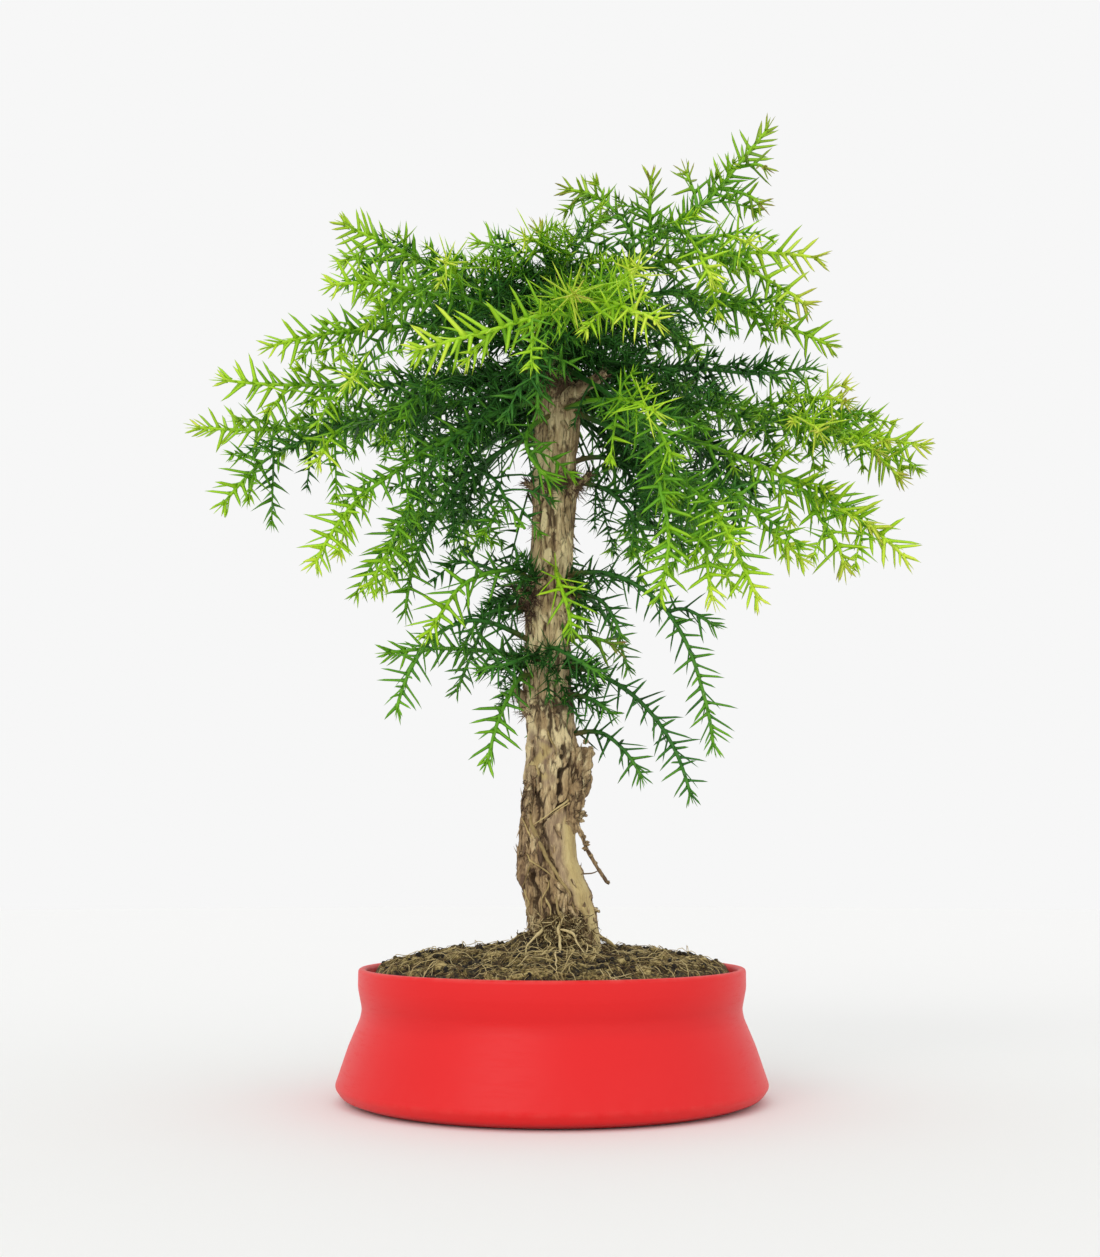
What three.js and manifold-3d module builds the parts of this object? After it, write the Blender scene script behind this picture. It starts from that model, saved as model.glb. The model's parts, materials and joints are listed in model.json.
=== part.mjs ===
// A conifer bonsai, an araucaria with sharp awl-shaped needles, growing in a low round red pot.
// Millimetres, +Z up. The origin is the centre of the pot's flat underside.
// The pieces: a moulded pot, the soil that fills it, the woody trunk with its roots and branch
// stubs, and the leafy shoots, each one green stem with the needles that grow from it.

import * as THREE from "three";
import { mergeVertices } from "three/addons/utils/BufferGeometryUtils.js";
import Module from "manifold-3d";

const wasm = await Module();
wasm.setup();

// Driving dimensions
const GAP = 0.3; // clearance between pieces that touch on the real plant
const POT_HEIGHT = 75;
const POT_WALL = 4.5;
const POT_FLOOR = 5;
const POT_SIDES = 36;
const DRAIN_HOLES = 3;
const DRAIN_RADIUS = 7;
const DRAIN_CIRCLE = 62; // radius of the circle that the drain holes stand on
const TRUNK_SIDES = 12;
const TRUNK_RING_STEP = 13;
const NEEDLE_LENGTH = 16;
const NEEDLE_FOOT = 4; // length of a needle's foot along its stem
const WHORL_PITCH = 18.5; // along the stem, from one whorl of needles to the next
const OUTER_LEAN = 62; // degrees from the stem, of the three lower needles of a whorl
const INNER_LEAN = 38; // the same, of its three upper needles
const FULLNESS = 0.72; // share of a whorl's six needles that grow, below the tip's tuft
const BRANCH_RADIUS = 2.1; // of a shoot's stem where it leaves the trunk
const TWIG_RADIUS = 1.35; // of a side shoot's stem where it leaves its branch
const TIP_RADIUS = 0.95;
const BARE_BRANCH = 20; // a branch has no needles on this much of its foot
const BARE_TWIG = 6;
const SPIRAL = 35; // degrees that each whorl is turned past the last

const { degToRad, lerp, clamp, smoothstep } = THREE.MathUtils;
const vec = (x, y, z) => new THREE.Vector3(x, y, z);

// Finishes
const finish = (color, roughness) =>
  new THREE.MeshStandardMaterial({ color, roughness, metalness: 0 });
const RED_PLASTIC = finish(0xe5383a, 0.38);
const POTTING_SOIL = finish(0x4f4530, 0.95);
const BARK = finish(0x8b7557, 0.9);
const NEEDLES = {
  dark: finish(0x24591f, 0.5),
  green: finish(0x4f9a2a, 0.5),
  lime: finish(0x93c43a, 0.5),
};

// A closed geometry as a solid, with its shared vertices merged.
function toSolid(geometry) {
  const bare = new THREE.BufferGeometry().setAttribute("position", geometry.getAttribute("position"));
  if (geometry.index) bare.setIndex(geometry.index);
  const merged = mergeVertices(bare, 1e-3);
  return new wasm.Manifold(
    new wasm.Mesh({
      numProp: 3,
      vertProperties: merged.attributes.position.array,
      triVerts: new Uint32Array(merged.index.array),
    }),
  );
}

// The largest body of a solid as a geometry: a scrap that a cut left loose is dropped.
function toGeometry(solid) {
  const [whole] = solid.decompose().sort((a, b) => b.volume() - a.volume());
  const { numProp, numVert, vertProperties, triVerts } = whole.getMesh();
  const positions = new Float32Array(numVert * 3);
  for (let i = 0; i < numVert; i++) {
    positions.set(vertProperties.subarray(i * numProp, i * numProp + 3), i * 3);
  }
  return new THREE.BufferGeometry()
    .setAttribute("position", new THREE.BufferAttribute(positions, 3))
    .setIndex(new THREE.BufferAttribute(new Uint32Array(triVerts), 1))
    .toNonIndexed();
}

function fuse(solids) {
  return solids.reduce((all, next) => all.add(next));
}

// A geometry from a list of triangles, each three points in anticlockwise order seen from outside.
function fromTriangles(triangles) {
  const positions = new Float32Array(triangles.length * 9);
  triangles.flat().forEach((p, i) => positions.set([p.x, p.y, p.z], i * 3));
  return new THREE.BufferGeometry().setAttribute("position", new THREE.BufferAttribute(positions, 3));
}

// A closed skin over rings of points, each ring turning anticlockwise seen from the last ring.
function skin(rings) {
  const triangles = [];
  rings.slice(1).forEach((upper, i) => {
    const lower = rings[i];
    lower.forEach((a, k) => {
      const next = (k + 1) % lower.length;
      triangles.push([a, lower[next], upper[next]], [a, upper[next], upper[k]]);
    });
  });
  const middle = (ring) => ring.reduce((sum, p) => sum.add(p), vec(0, 0, 0)).divideScalar(ring.length);
  const [first, last] = [rings[0], rings[rings.length - 1]];
  const [foot, head] = [middle(first), middle(last)];
  first.forEach((p, k) => triangles.push([foot, first[(k + 1) % first.length], p]));
  last.forEach((p, k) => triangles.push([head, p, last[(k + 1) % last.length]]));
  return fromTriangles(triangles);
}

// A source of numbers from 0 to 1 that gives the same ones at every run.
function seeded(seed) {
  let state = seed >>> 0;
  return () => {
    state = (state + 0x6d2b79f5) >>> 0;
    let t = state;
    t = Math.imul(t ^ (t >>> 15), t | 1);
    t ^= t + Math.imul(t ^ (t >>> 7), t | 61);
    return ((t ^ (t >>> 14)) >>> 0) / 4294967296;
  };
}

// Pot: a short upright rim, a waist under it, a skirt that flares out, and a rounded foot.
const POT_OUTSIDE = [
  [114, 0],
  [122, 3],
  [126, 8.5],
  [118.5, 31],
  [112, 46.5],
  [111, 52],
  [113.5, 64],
  [113.5, POT_HEIGHT],
];
const POT_INSIDE = [
  [113.5 - POT_WALL, POT_HEIGHT],
  [111 - POT_WALL, 52],
  [118.5 - POT_WALL, 31],
  [126 - POT_WALL, 11],
  [118, POT_FLOOR],
];

function turned(profile) {
  const outline = profile.map(([r, z]) => new THREE.Vector2(r, z));
  return new THREE.LatheGeometry(outline, POT_SIDES).rotateX(Math.PI / 2);
}

function makePot() {
  const bowl = toSolid(turned([[0, 0], ...POT_OUTSIDE, ...POT_INSIDE, [0, POT_FLOOR]]));
  const drains = Array.from({ length: DRAIN_HOLES }, (_, i) => {
    const angle = degToRad(90 + (360 / DRAIN_HOLES) * i);
    const drain = new THREE.CylinderGeometry(DRAIN_RADIUS, DRAIN_RADIUS, POT_FLOOR * 3, 10)
      .rotateX(Math.PI / 2)
      .translate(DRAIN_CIRCLE * Math.cos(angle), DRAIN_CIRCLE * Math.sin(angle), POT_FLOOR / 2);
    return toSolid(drain);
  });
  return bowl.subtract(fuse(drains));
}

// Trunk: its middle line and radius at each height, from the root's foot to the leader's tip.
const TRUNK = [
  { z: 52, x: 7, y: 0, r: 14 },
  { z: 66, x: 7, y: 0, r: 21 },
  { z: 80, x: 6.5, y: 0, r: 24 },
  { z: 92, x: 6.5, y: 0, r: 21 },
  { z: 104, x: 6, y: 0.5, r: 20 },
  { z: 116, x: 3.5, y: 1, r: 19.5 },
  { z: 128, x: -0.5, y: 2, r: 18.8 },
  { z: 140, x: -2.3, y: 3, r: 17.2 },
  { z: 156, x: -2, y: 4, r: 16.4 },
  { z: 170, x: 0, y: 4, r: 16.8 },
  { z: 184, x: 1.5, y: 3, r: 16.4 },
  { z: 198, x: 2, y: 2, r: 16.2 },
  { z: 212, x: -0.5, y: 1, r: 14.8 },
  { z: 232, x: -3, y: 0, r: 14.2 },
  { z: 256, x: -3, y: -1, r: 14.4 },
  { z: 272, x: -3, y: -2, r: 13.2 },
  { z: 296, x: -2, y: -2, r: 14.2 },
  { z: 312, x: -1, y: -2, r: 13.2 },
  { z: 336, x: 0.3, y: -1, r: 13 },
  { z: 360, x: 1.9, y: 0, r: 13.1 },
  { z: 372, x: 2.2, y: 1, r: 14.6 },
  { z: 384, x: 2.5, y: 1, r: 12.9 },
  { z: 408, x: 3.9, y: 2, r: 13.2 },
  { z: 424, x: 4.8, y: 2, r: 13.4 },
  { z: 434, x: 2, y: 2, r: 9.6 },
  { z: 446, x: 0, y: 1, r: 6.4 },
  { z: 462, x: -0.5, y: 0, r: 5.4 },
  { z: 482, x: -1, y: 0, r: 4.4 },
  { z: 502, x: 0, y: 0, r: 3 },
];

// The trunk's middle and radius at a height, eased between the two stations round it.
function trunkAt(z) {
  const above = TRUNK.findIndex((s) => s.z > z);
  if (above === -1) return TRUNK[TRUNK.length - 1];
  const [low, high] = [TRUNK[Math.max(0, above - 1)], TRUNK[above]];
  const t = smoothstep(z, low.z, high.z);
  return { x: lerp(low.x, high.x, t), y: lerp(low.y, high.y, t), r: lerp(low.r, high.r, t) };
}

// Share by which the bark stands out or sinks: ribs that wind slowly round the trunk, and are
// strongest low down.
function barkRelief(angle, z) {
  const strength = lerp(0.045, 0.02, clamp((z - 90) / 150, 0, 1));
  const broad = Math.sin(3 * angle + z / 34);
  const narrow = 0.7 * Math.sin(5 * angle - z / 21);
  const swell = 0.5 * Math.sin(2 * angle + z / 9);
  return 1 + strength * (broad + narrow + swell);
}

function trunkColumn(grow) {
  const [foot, top] = [TRUNK[0].z, TRUNK[TRUNK.length - 1].z];
  const steps = Math.round((top - foot) / TRUNK_RING_STEP);
  const rings = Array.from({ length: steps + 1 }, (_, i) => {
    const z = lerp(foot, top, i / steps);
    const { x, y, r } = trunkAt(z);
    const edge = i === 0 ? -grow : i === steps ? grow : 0;
    return Array.from({ length: TRUNK_SIDES }, (_, k) => {
      const angle = (k / TRUNK_SIDES) * 2 * Math.PI;
      const radius = r * barkRelief(angle, z) + grow * 1.1;
      return vec(x + radius * Math.cos(angle), y + radius * Math.sin(angle), z + edge);
    });
  });
  return toSolid(skin(rings));
}

// A tapered woody limb along a smooth curve through points, with its two ends cut flat.
function limb({ points, radii, sides, steps }, grow) {
  const curve = new THREE.CatmullRomCurve3(points.map((p) => vec(...p)));
  const rings = [];
  let across = null;
  for (let i = 0; i <= steps; i++) {
    const u = i / steps;
    const ahead = curve.getTangentAt(u);
    across = across ? across.clone() : new THREE.Vector3().crossVectors(ahead, vec(0.3, 1, 0.2));
    across.addScaledVector(ahead, -across.dot(ahead)).normalize();
    const over = new THREE.Vector3().crossVectors(ahead, across);
    const radius = lerp(radii[0], radii[1], u) + grow * 1.2;
    const middle = curve.getPointAt(u);
    if (i === 0) middle.addScaledVector(ahead, -grow);
    if (i === steps) middle.addScaledVector(ahead, grow);
    const ring = Array.from({ length: sides }, (_, k) => {
      const angle = (k / sides) * 2 * Math.PI;
      return middle
        .clone()
        .addScaledVector(across, radius * Math.cos(angle))
        .addScaledVector(over, radius * Math.sin(angle));
    });
    rings.push(ring);
  }
  return toSolid(skin(rings));
}

// The cut stub in the crown's fork, the small stubs of old whorls, and the lifted strips of bark.
const WOODY_PARTS = [
  { points: [[6, -1, 424], [18, -5, 430], [33, -7, 436]], radii: [5, 3], steps: 3, sides: 6 },
  { points: [[8, -2, 371], [17, -5, 373], [23, -7, 377]], radii: [3.6, 1.6], steps: 2, sides: 4 },
  { points: [[-8, -3, 371], [-14, -7, 372], [-18, -9, 374]], radii: [3.2, 1.4], steps: 2, sides: 4 },
  { points: [[-8, -4, 294], [-17, -8, 294], [-23, -10, 301]], radii: [4.6, 2], steps: 2, sides: 5 },
  { points: [[-8, -2, 228], [-15, -4, 236], [-18, -6, 243]], radii: [5, 2.4], steps: 2, sides: 4 },
  {
    points: [[11, -2, 172], [18, -5, 184], [20, -6, 194], [16, -6, 206]],
    radii: [6.5, 3.5],
    steps: 4,
    sides: 6,
  },
  {
    points: [[9, -4, 170], [16, -8, 157], [20, -8, 148], [34, -8, 123]],
    radii: [2.8, 1.1],
    steps: 4,
    sides: 5,
  },
  { points: [[-10, -6, 192], [-14, -10, 176], [-15.5, -9, 162]], radii: [3, 1.8], steps: 2, sides: 4 },
];

// Surface roots: each leaves the trunk's flare, bends over the soil and dives into it.
const ROOTS = [
  { angle: 255, reach: 40, radius: 3.4 },
  { angle: 285, reach: 34, radius: 2.4 },
  { angle: 225, reach: 44, radius: 3 },
  { angle: 318, reach: 42, radius: 3.6 },
  { angle: 5, reach: 46, radius: 3.8 },
  { angle: 75, reach: 42, radius: 3.6 },
  { angle: 165, reach: 46, radius: 3.6 },
];

function rootLimb({ angle, reach, radius }) {
  const [c, s] = [Math.cos(degToRad(angle)), Math.sin(degToRad(angle))];
  const { x } = trunkAt(90);
  const outwards = [[10, 101], [20, 92], [reach * 0.72, 85.5], [reach, 77]];
  const points = outwards.map(([d, z]) => [x + d * c, d * s, z]);
  return { points, radii: [radius + 1.6, radius * 0.55], steps: 3, sides: 4 };
}

function makeTrunk(grow = 0) {
  const limbs = [...WOODY_PARTS, ...ROOTS.map(rootLimb)];
  return fuse([trunkColumn(grow), ...limbs.map((shape) => limb(shape, grow))]);
}

// Soil: it follows the pot's inside and rises in a rough mound to the trunk.
const SOIL_MOUND = [
  [106.5, 68],
  [102, 75],
  [88, 80.5],
  [58, 85.5],
];

// Height of the clods on the soil's surface.
function clods(x, y) {
  const across = 1.2 * Math.sin(x * 0.31 + 1.7 * Math.sin(y * 0.17));
  const along = Math.sin(y * 0.37 + 1.3 * Math.sin(x * 0.21));
  return across + along;
}

function makeSoil(trunkHole) {
  const inset = GAP * 1.4;
  const side = POT_INSIDE.slice(1)
    .map(([r, z]) => [r - inset, z])
    .reverse();
  side[0] = [side[0][0] - inset, POT_FLOOR + GAP];
  const facets = (f) => Array.from({ length: POT_SIDES }, (_, k) => f((k / POT_SIDES) * 2 * Math.PI));
  const level = ([r, z]) => facets((a) => vec(r * Math.cos(a), r * Math.sin(a), z));
  const rough = ([r, z]) =>
    facets((a) => {
      const [x, y] = [r * Math.cos(a), r * Math.sin(a)];
      return vec(x, y, z + clods(x, y) * smoothstep(112 - r, 4, 16));
    });
  const rings = [...side.map(level), ...SOIL_MOUND.map(rough), level([14, 90])];
  return toSolid(skin(rings)).subtract(trunkHole);
}

// Leafy shoots. A branch leaves the trunk at a height; a side shoot leaves another shoot at a
// share of its length. Each passes through its middle point, or arches a little where none is
// given, and ends at its tip. A side shoot with no tone belongs to its branch and grows from it
// in one piece.
const SHOOTS = [
  { name: "left_crest", height: 478, middle: [-68, -25, 492], tip: [-125, -40, 517], tone: "green" },
  { name: "left_crest_back", on: "left_crest", at: 0.5, tip: [-145, 10, 514] },
  { name: "left_crest_low", height: 464, middle: [-71, -60, 467], tip: [-124, -95, 459], tone: "green" },
  { name: "left_crest_star", on: "left_crest_low", at: 0.45, tip: [-59, -120, 463] },
  { name: "left_arm", height: 451, middle: [-92, -30, 455], tip: [-166, -50, 437], tone: "green" },
  { name: "front_lime", height: 466, middle: [-33, -110, 432], tip: [-71, -150, 404], tone: "lime" },
  { name: "left_span", height: 439, middle: [-110, -20, 422], tip: [-197, -25, 424], tone: "green" },
  { name: "left_span_star", on: "left_span", at: 0.55, tip: [-111, -110, 399], tone: "lime" },
  { name: "left_span_dark", on: "left_span", at: 0.22, tip: [-88, -60, 396] },
  { name: "left_reach", height: 429, middle: [-119, 5, 406], tip: [-220, 10, 404], tone: "green" },
  { name: "left_reach_lime", on: "left_reach", at: 0.5, tip: [-136, -55, 367] },
  { name: "left_reach_drop", on: "left_reach", at: 0.45, middle: [-164, 0, 386], tip: [-199, -10, 351] },
  { name: "left_reach_dark", on: "left_reach", at: 0.2, tip: [-109, 60, 405] },
  { name: "left_bow", height: 420, middle: [-89, -50, 366], tip: [-131, -90, 301], tone: "green" },
  { name: "left_bow_inner", on: "left_bow", at: 0.35, middle: [-75, -40, 359], tip: [-104, -60, 293] },
  { name: "left_bow_dark", on: "left_bow", at: 0.15, tip: [-67, -20, 379] },
  { name: "left_hang", height: 398, middle: [-65, 0, 356], tip: [-88, -10, 285], tone: "dark" },
  { name: "left_hang_inner", on: "left_hang", at: 0.35, tip: [-16, -40, 330] },
  { name: "left_hang_back", on: "left_hang", at: 0.25, tip: [-62, 40, 345] },
  { name: "mid_left_lime", height: 302, middle: [-40, -30, 306], tip: [-70, -60, 266], tone: "lime" },
  { name: "mid_left_dark", on: "mid_left_lime", at: 0.3, tip: [-62, 0, 317] },
  { name: "mid_left_droop", height: 286, middle: [-37, -15, 284], tip: [-53, -20, 261], tone: "dark" },
  { name: "low_left_long", height: 266, middle: [-61, -40, 271], tip: [-87, -70, 221], tone: "dark" },
  { name: "low_left_flat", height: 256, middle: [-52, -15, 261], tip: [-96, -30, 258], tone: "green" },
  { name: "low_left_hang", height: 246, middle: [-26, -30, 235], tip: [-37, -45, 193], tone: "green" },
  { name: "low_front_left", height: 256, middle: [-21, -45, 251], tip: [-41, -65, 244], tone: "dark" },
  { name: "low_front_right", height: 262, middle: [5, -45, 255], tip: [27, -75, 241], tone: "dark" },
  { name: "front_lime_drop", height: 314, middle: [8, -38, 294], tip: [11, -52, 268], tone: "lime" },
  { name: "low_olive_tuft", height: 268, tip: [36, -25, 263], tone: "lime" },
  { name: "front_curtain", height: 458, middle: [-8, -60, 435], tip: [-8, -66, 393], tone: "dark" },
  { name: "front_curtain_lime", height: 408, middle: [-14, -35, 384], tip: [-2, -48, 358], tone: "lime" },
  { name: "top_spire", height: 492, middle: [59, -10, 512], tip: [133, -20, 585], tone: "green" },
  { name: "top_spire_a", on: "top_spire", at: 0.8, tip: [130, -30, 556] },
  { name: "top_spire_b", on: "top_spire", at: 0.68, tip: [127, -30, 533] },
  { name: "top_spire_c", on: "top_spire", at: 0.6, tip: [84, -5, 564] },
  { name: "top_spire_lime", on: "top_spire", at: 0.45, tip: [93, -65, 474] },
  { name: "top_fork", on: "top_spire", at: 0.3, middle: [44, 5, 541], tip: [10, 10, 559] },
  { name: "top_fork_tuft", on: "top_spire", at: 0.42, tip: [60, -30, 550] },
  { name: "crown_front", height: 489, middle: [-6, -32, 503], tip: [-16, -66, 497], tone: "lime" },
  { name: "crown_right", height: 496, middle: [14, 14, 520], tip: [34, 26, 546], tone: "green" },
  { name: "crown_tuft", height: 499, tip: [-7, -20, 519], tone: "lime" },
  { name: "crown_left", height: 488, middle: [-20, 14, 514], tip: [-48, 30, 532], tone: "green" },
  { name: "front_star_right", height: 484, middle: [30, -90, 458], tip: [45, -160, 446], tone: "lime" },
  { name: "right_crest", height: 480, middle: [87, 10, 514], tip: [167, 10, 514], tone: "lime" },
  { name: "right_crest_low", on: "right_crest", at: 0.65, tip: [155, -15, 475] },
  { name: "right_crest_tuft", on: "right_crest", at: 0.5, tip: [116, -60, 497] },
  { name: "right_arm", height: 468, middle: [79, -10, 481], tip: [169, -20, 447], tone: "green" },
  { name: "right_arm_dark", height: 448, middle: [80, 10, 440], tip: [166, 20, 445], tone: "dark" },
  { name: "front_lime_right", height: 472, middle: [27, -95, 448], tip: [55, -150, 420], tone: "lime" },
  { name: "front_orange", height: 478, middle: [5, -80, 454], tip: [12, -145, 436], tone: "lime" },
  { name: "right_reach", height: 433, middle: [114, 10, 413], tip: [228, 0, 390], tone: "green" },
  { name: "right_reach_up", on: "right_reach", at: 0.72, tip: [175, -20, 413] },
  { name: "right_reach_star", on: "right_reach", at: 0.58, tip: [150, -90, 375], tone: "lime" },
  { name: "right_reach_red", on: "right_reach", at: 0.68, tip: [208, -25, 364] },
  { name: "right_reach_dark", on: "right_reach", at: 0.3, tip: [116, 60, 369] },
  { name: "right_bow", height: 423, middle: [113, -20, 376], tip: [189, -40, 330], tone: "lime" },
  { name: "right_bow_low", on: "right_bow", at: 0.68, tip: [206, -40, 313] },
  { name: "right_bow_tip", on: "right_bow", at: 0.72, tip: [169, -50, 299] },
  { name: "right_bow_dark", on: "right_bow", at: 0.3, tip: [131, 30, 359] },
  { name: "right_star", height: 412, middle: [68, -55, 363], tip: [98, -120, 305], tone: "green" },
  { name: "right_star_low", on: "right_star", at: 0.6, tip: [88, -95, 274] },
  { name: "right_star_side", on: "right_star", at: 0.7, tip: [113, -95, 280] },
  { name: "right_star_out", on: "right_star", at: 0.55, tip: [143, -60, 308] },
  { name: "right_curtain", height: 442, middle: [56, -85, 363], tip: [59, -100, 280], tone: "green" },
  { name: "front_lime_low", height: 434, middle: [32, -75, 399], tip: [54, -145, 372], tone: "lime" },
  { name: "front_lime_low_b", on: "front_lime_low", at: 0.4, tip: [65, -115, 356] },
  { name: "right_drop", height: 424, middle: [33, 8, 410], tip: [39, 6, 363], tone: "dark" },
  { name: "right_fill_a", height: 378, middle: [47, 5, 377], tip: [92, 0, 336], tone: "dark" },
  { name: "right_fill_b", height: 366, middle: [40, -15, 352], tip: [58, -25, 321], tone: "dark" },
  { name: "right_trail", height: 307, middle: [62, -50, 286], tip: [89, -80, 200], tone: "dark" },
  { name: "right_trail_side", on: "right_trail", at: 0.5, tip: [90, -75, 268] },
  { name: "right_short", height: 294, middle: [29, -12, 292], tip: [41, -20, 268], tone: "dark" },
  { name: "low_right_long", height: 255, middle: [52, -40, 226], tip: [77, -70, 173], tone: "dark" },
  { name: "low_right_small", height: 236, tip: [35, -30, 222], tone: "dark" },
  { name: "low_right_droop", height: 211, middle: [33, -18, 209], tip: [52, -30, 185], tone: "dark" },
  { name: "back_high", height: 484, middle: [6, 60, 522], tip: [8, 118, 540], tone: "green" },
  { name: "back_high_left", height: 474, middle: [-50, 80, 497], tip: [-88, 150, 488], tone: "green" },
  { name: "back_high_left_side", on: "back_high_left", at: 0.45, tip: [-115, 80, 500] },
  { name: "back_high_right", height: 462, middle: [62, 78, 492], tip: [104, 150, 496], tone: "green" },
  { name: "back_high_right_side", on: "back_high_right", at: 0.45, tip: [135, 85, 510] },
  { name: "back_left", height: 444, middle: [-92, 75, 440], tip: [-165, 120, 418], tone: "green" },
  { name: "back_left_side", on: "back_left", at: 0.45, tip: [-105, 145, 425] },
  { name: "back_right", height: 455, middle: [88, 82, 450], tip: [165, 125, 436], tone: "green" },
  { name: "back_right_side", on: "back_right", at: 0.45, tip: [100, 155, 440] },
  { name: "back_middle", height: 437, middle: [6, 100, 448], tip: [-2, 190, 420], tone: "green" },
  { name: "back_middle_left", on: "back_middle", at: 0.45, tip: [-55, 150, 430] },
  { name: "back_middle_right", on: "back_middle", at: 0.5, tip: [55, 160, 425] },
  { name: "back_low_left", height: 417, middle: [-72, 85, 384], tip: [-118, 135, 322], tone: "green" },
  { name: "back_low_left_side", on: "back_low_left", at: 0.4, tip: [-60, 135, 350] },
  { name: "back_low_right", height: 415, middle: [76, 88, 380], tip: [125, 140, 325], tone: "green" },
  { name: "back_low_right_side", on: "back_low_right", at: 0.4, tip: [58, 145, 350] },
  { name: "back_drop", height: 382, middle: [8, 72, 362], tip: [18, 108, 292], tone: "dark" },
  { name: "back_mid_left", height: 300, middle: [-36, 45, 292], tip: [-62, 80, 246], tone: "dark" },
  { name: "back_mid_right", height: 302, middle: [34, 48, 296], tip: [62, 84, 250], tone: "dark" },
  { name: "back_low", height: 258, middle: [-4, 48, 250], tip: [-8, 78, 206], tone: "dark" },
];

// The curve that a shoot's stem follows: quadratic, through its start, its middle and its tip.
function stemCurve(start, middle, tip) {
  const between = start.clone().add(tip).multiplyScalar(0.5);
  const through = middle ?? between.clone().add(vec(0, 0, start.distanceTo(tip) * 0.08));
  return new THREE.QuadraticBezierCurve3(start, through.clone().multiplyScalar(2).sub(between), tip);
}

function layOut(row, laid) {
  const tip = vec(...row.tip);
  const middle = row.middle && vec(...row.middle);
  const parent = row.on && laid.get(row.on);
  const start = parent ? leaveStem(parent, row.at) : leaveTrunk(row.height, middle ?? tip);
  const curve = stemCurve(start, middle, tip);
  const length = curve.getLength();
  return {
    ...row,
    curve,
    parent,
    node: parent && !row.tone ? parent.node : row.name,
    length,
    radius: parent ? TWIG_RADIUS : BRANCH_RADIUS,
    bare: Math.min(parent ? BARE_TWIG : BARE_BRANCH, length * 0.3),
  };
}

// Where a branch begins: a little under the bark, on the side that it grows towards.
function leaveTrunk(height, towards) {
  const { x, y, r } = trunkAt(height);
  const out = vec(towards.x - x, towards.y - y, 0).normalize();
  return vec(x, y, height).addScaledVector(out, r * 0.6);
}

// Where a side shoot begins: in the middle of its branch's stem, half way between two whorls.
function leaveStem(branch, at) {
  const whorls = whorlStations(branch);
  const pitch = whorls[1] - whorls[0];
  const gap = clamp(Math.round((at * branch.length - whorls[0]) / pitch - 0.5), 0, whorls.length - 2);
  return branch.curve.getPointAt((whorls[gap] + (pitch + NEEDLE_FOOT) / 2) / branch.length);
}

// Distances from a stem's foot to the foot of each whorl of needles.
function whorlStations({ length, bare }) {
  const last = length - NEEDLE_FOOT - 1;
  const count = Math.max(1, Math.round((last - bare) / WHORL_PITCH));
  return Array.from({ length: count + 1 }, (_, i) => lerp(bare, last, i / count));
}

// The rings of a stem, three points each: one at its foot, then two for each whorl of needles.
// The upper ring of a whorl is turned by 60 degrees, so that six triangles lie between the two.
function stemRings(shoot) {
  const stations = [{ s: 0, turn: 0 }];
  whorlStations(shoot).forEach((s, i) => {
    const turn = i * (60 + SPIRAL);
    stations.push({ s, turn }, { s: s + NEEDLE_FOOT, turn: turn + 60 });
  });
  let across = vec(0.31, 0.17, 0.94);
  return stations.map(({ s, turn }) => {
    const u = s / shoot.length;
    const ahead = shoot.curve.getTangentAt(u);
    across = across.clone().addScaledVector(ahead, -across.dot(ahead)).normalize();
    const over = new THREE.Vector3().crossVectors(ahead, across);
    const middle = shoot.curve.getPointAt(u);
    const radius = lerp(shoot.radius, TIP_RADIUS, Math.sqrt(u));
    const points = [0, 120, 240].map((third) => {
      const angle = degToRad(turn + third);
      return middle
        .clone()
        .addScaledVector(across, radius * Math.cos(angle))
        .addScaledVector(over, radius * Math.sin(angle));
    });
    return { s, ahead, middle, radius, points };
  });
}

// Closest approach of two tapered rods, less their radii there: negative where they cross.
function rodGap(p, q) {
  const [d1, d2] = [p.b.clone().sub(p.a), q.b.clone().sub(q.a)];
  const r = p.a.clone().sub(q.a);
  const [a, e, f, c, b] = [d1.lengthSq(), d2.lengthSq(), d2.dot(r), d1.dot(r), d1.dot(d2)];
  const denominator = a * e - b * b;
  let s = denominator > 1e-9 ? clamp((b * f - c * e) / denominator, 0, 1) : 0;
  const t = clamp((b * s + f) / e, 0, 1);
  s = clamp((b * t - c) / a, 0, 1);
  const apart = p.a.clone().addScaledVector(d1, s).distanceTo(q.a.clone().addScaledVector(d2, t));
  return apart - lerp(p.ra, p.rb, s) - lerp(q.ra, q.rb, t);
}

// A tapered rod from a to b that stands for a piece of stem or a needle, with the ball round it.
function rod(a, b, ra, rb, owner) {
  const middle = a.clone().lerp(b, 0.5);
  return { a, b, ra, rb, owner, middle, reach: a.distanceTo(b) / 2 + Math.max(ra, rb) };
}

function isClear(needle, rods) {
  return rods.every((other) => {
    if (other.owner === needle.owner) return true;
    if (needle.middle.distanceTo(other.middle) > needle.reach + other.reach + GAP) return true;
    return rodGap(needle, other) > GAP;
  });
}

// Ways to turn a needle aside, lean it or shorten it until it is clear of the other pieces.
const BENDS = [
  { turn: 0, lean: 0, share: 1 },
  { turn: 18, lean: 0, share: 1 },
  { turn: -18, lean: 0, share: 1 },
  { turn: 0, lean: -16, share: 0.95 },
  { turn: 0, lean: 12, share: 0.9 },
  { turn: 26, lean: -14, share: 0.8 },
  { turn: -26, lean: -14, share: 0.8 },
];

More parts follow.
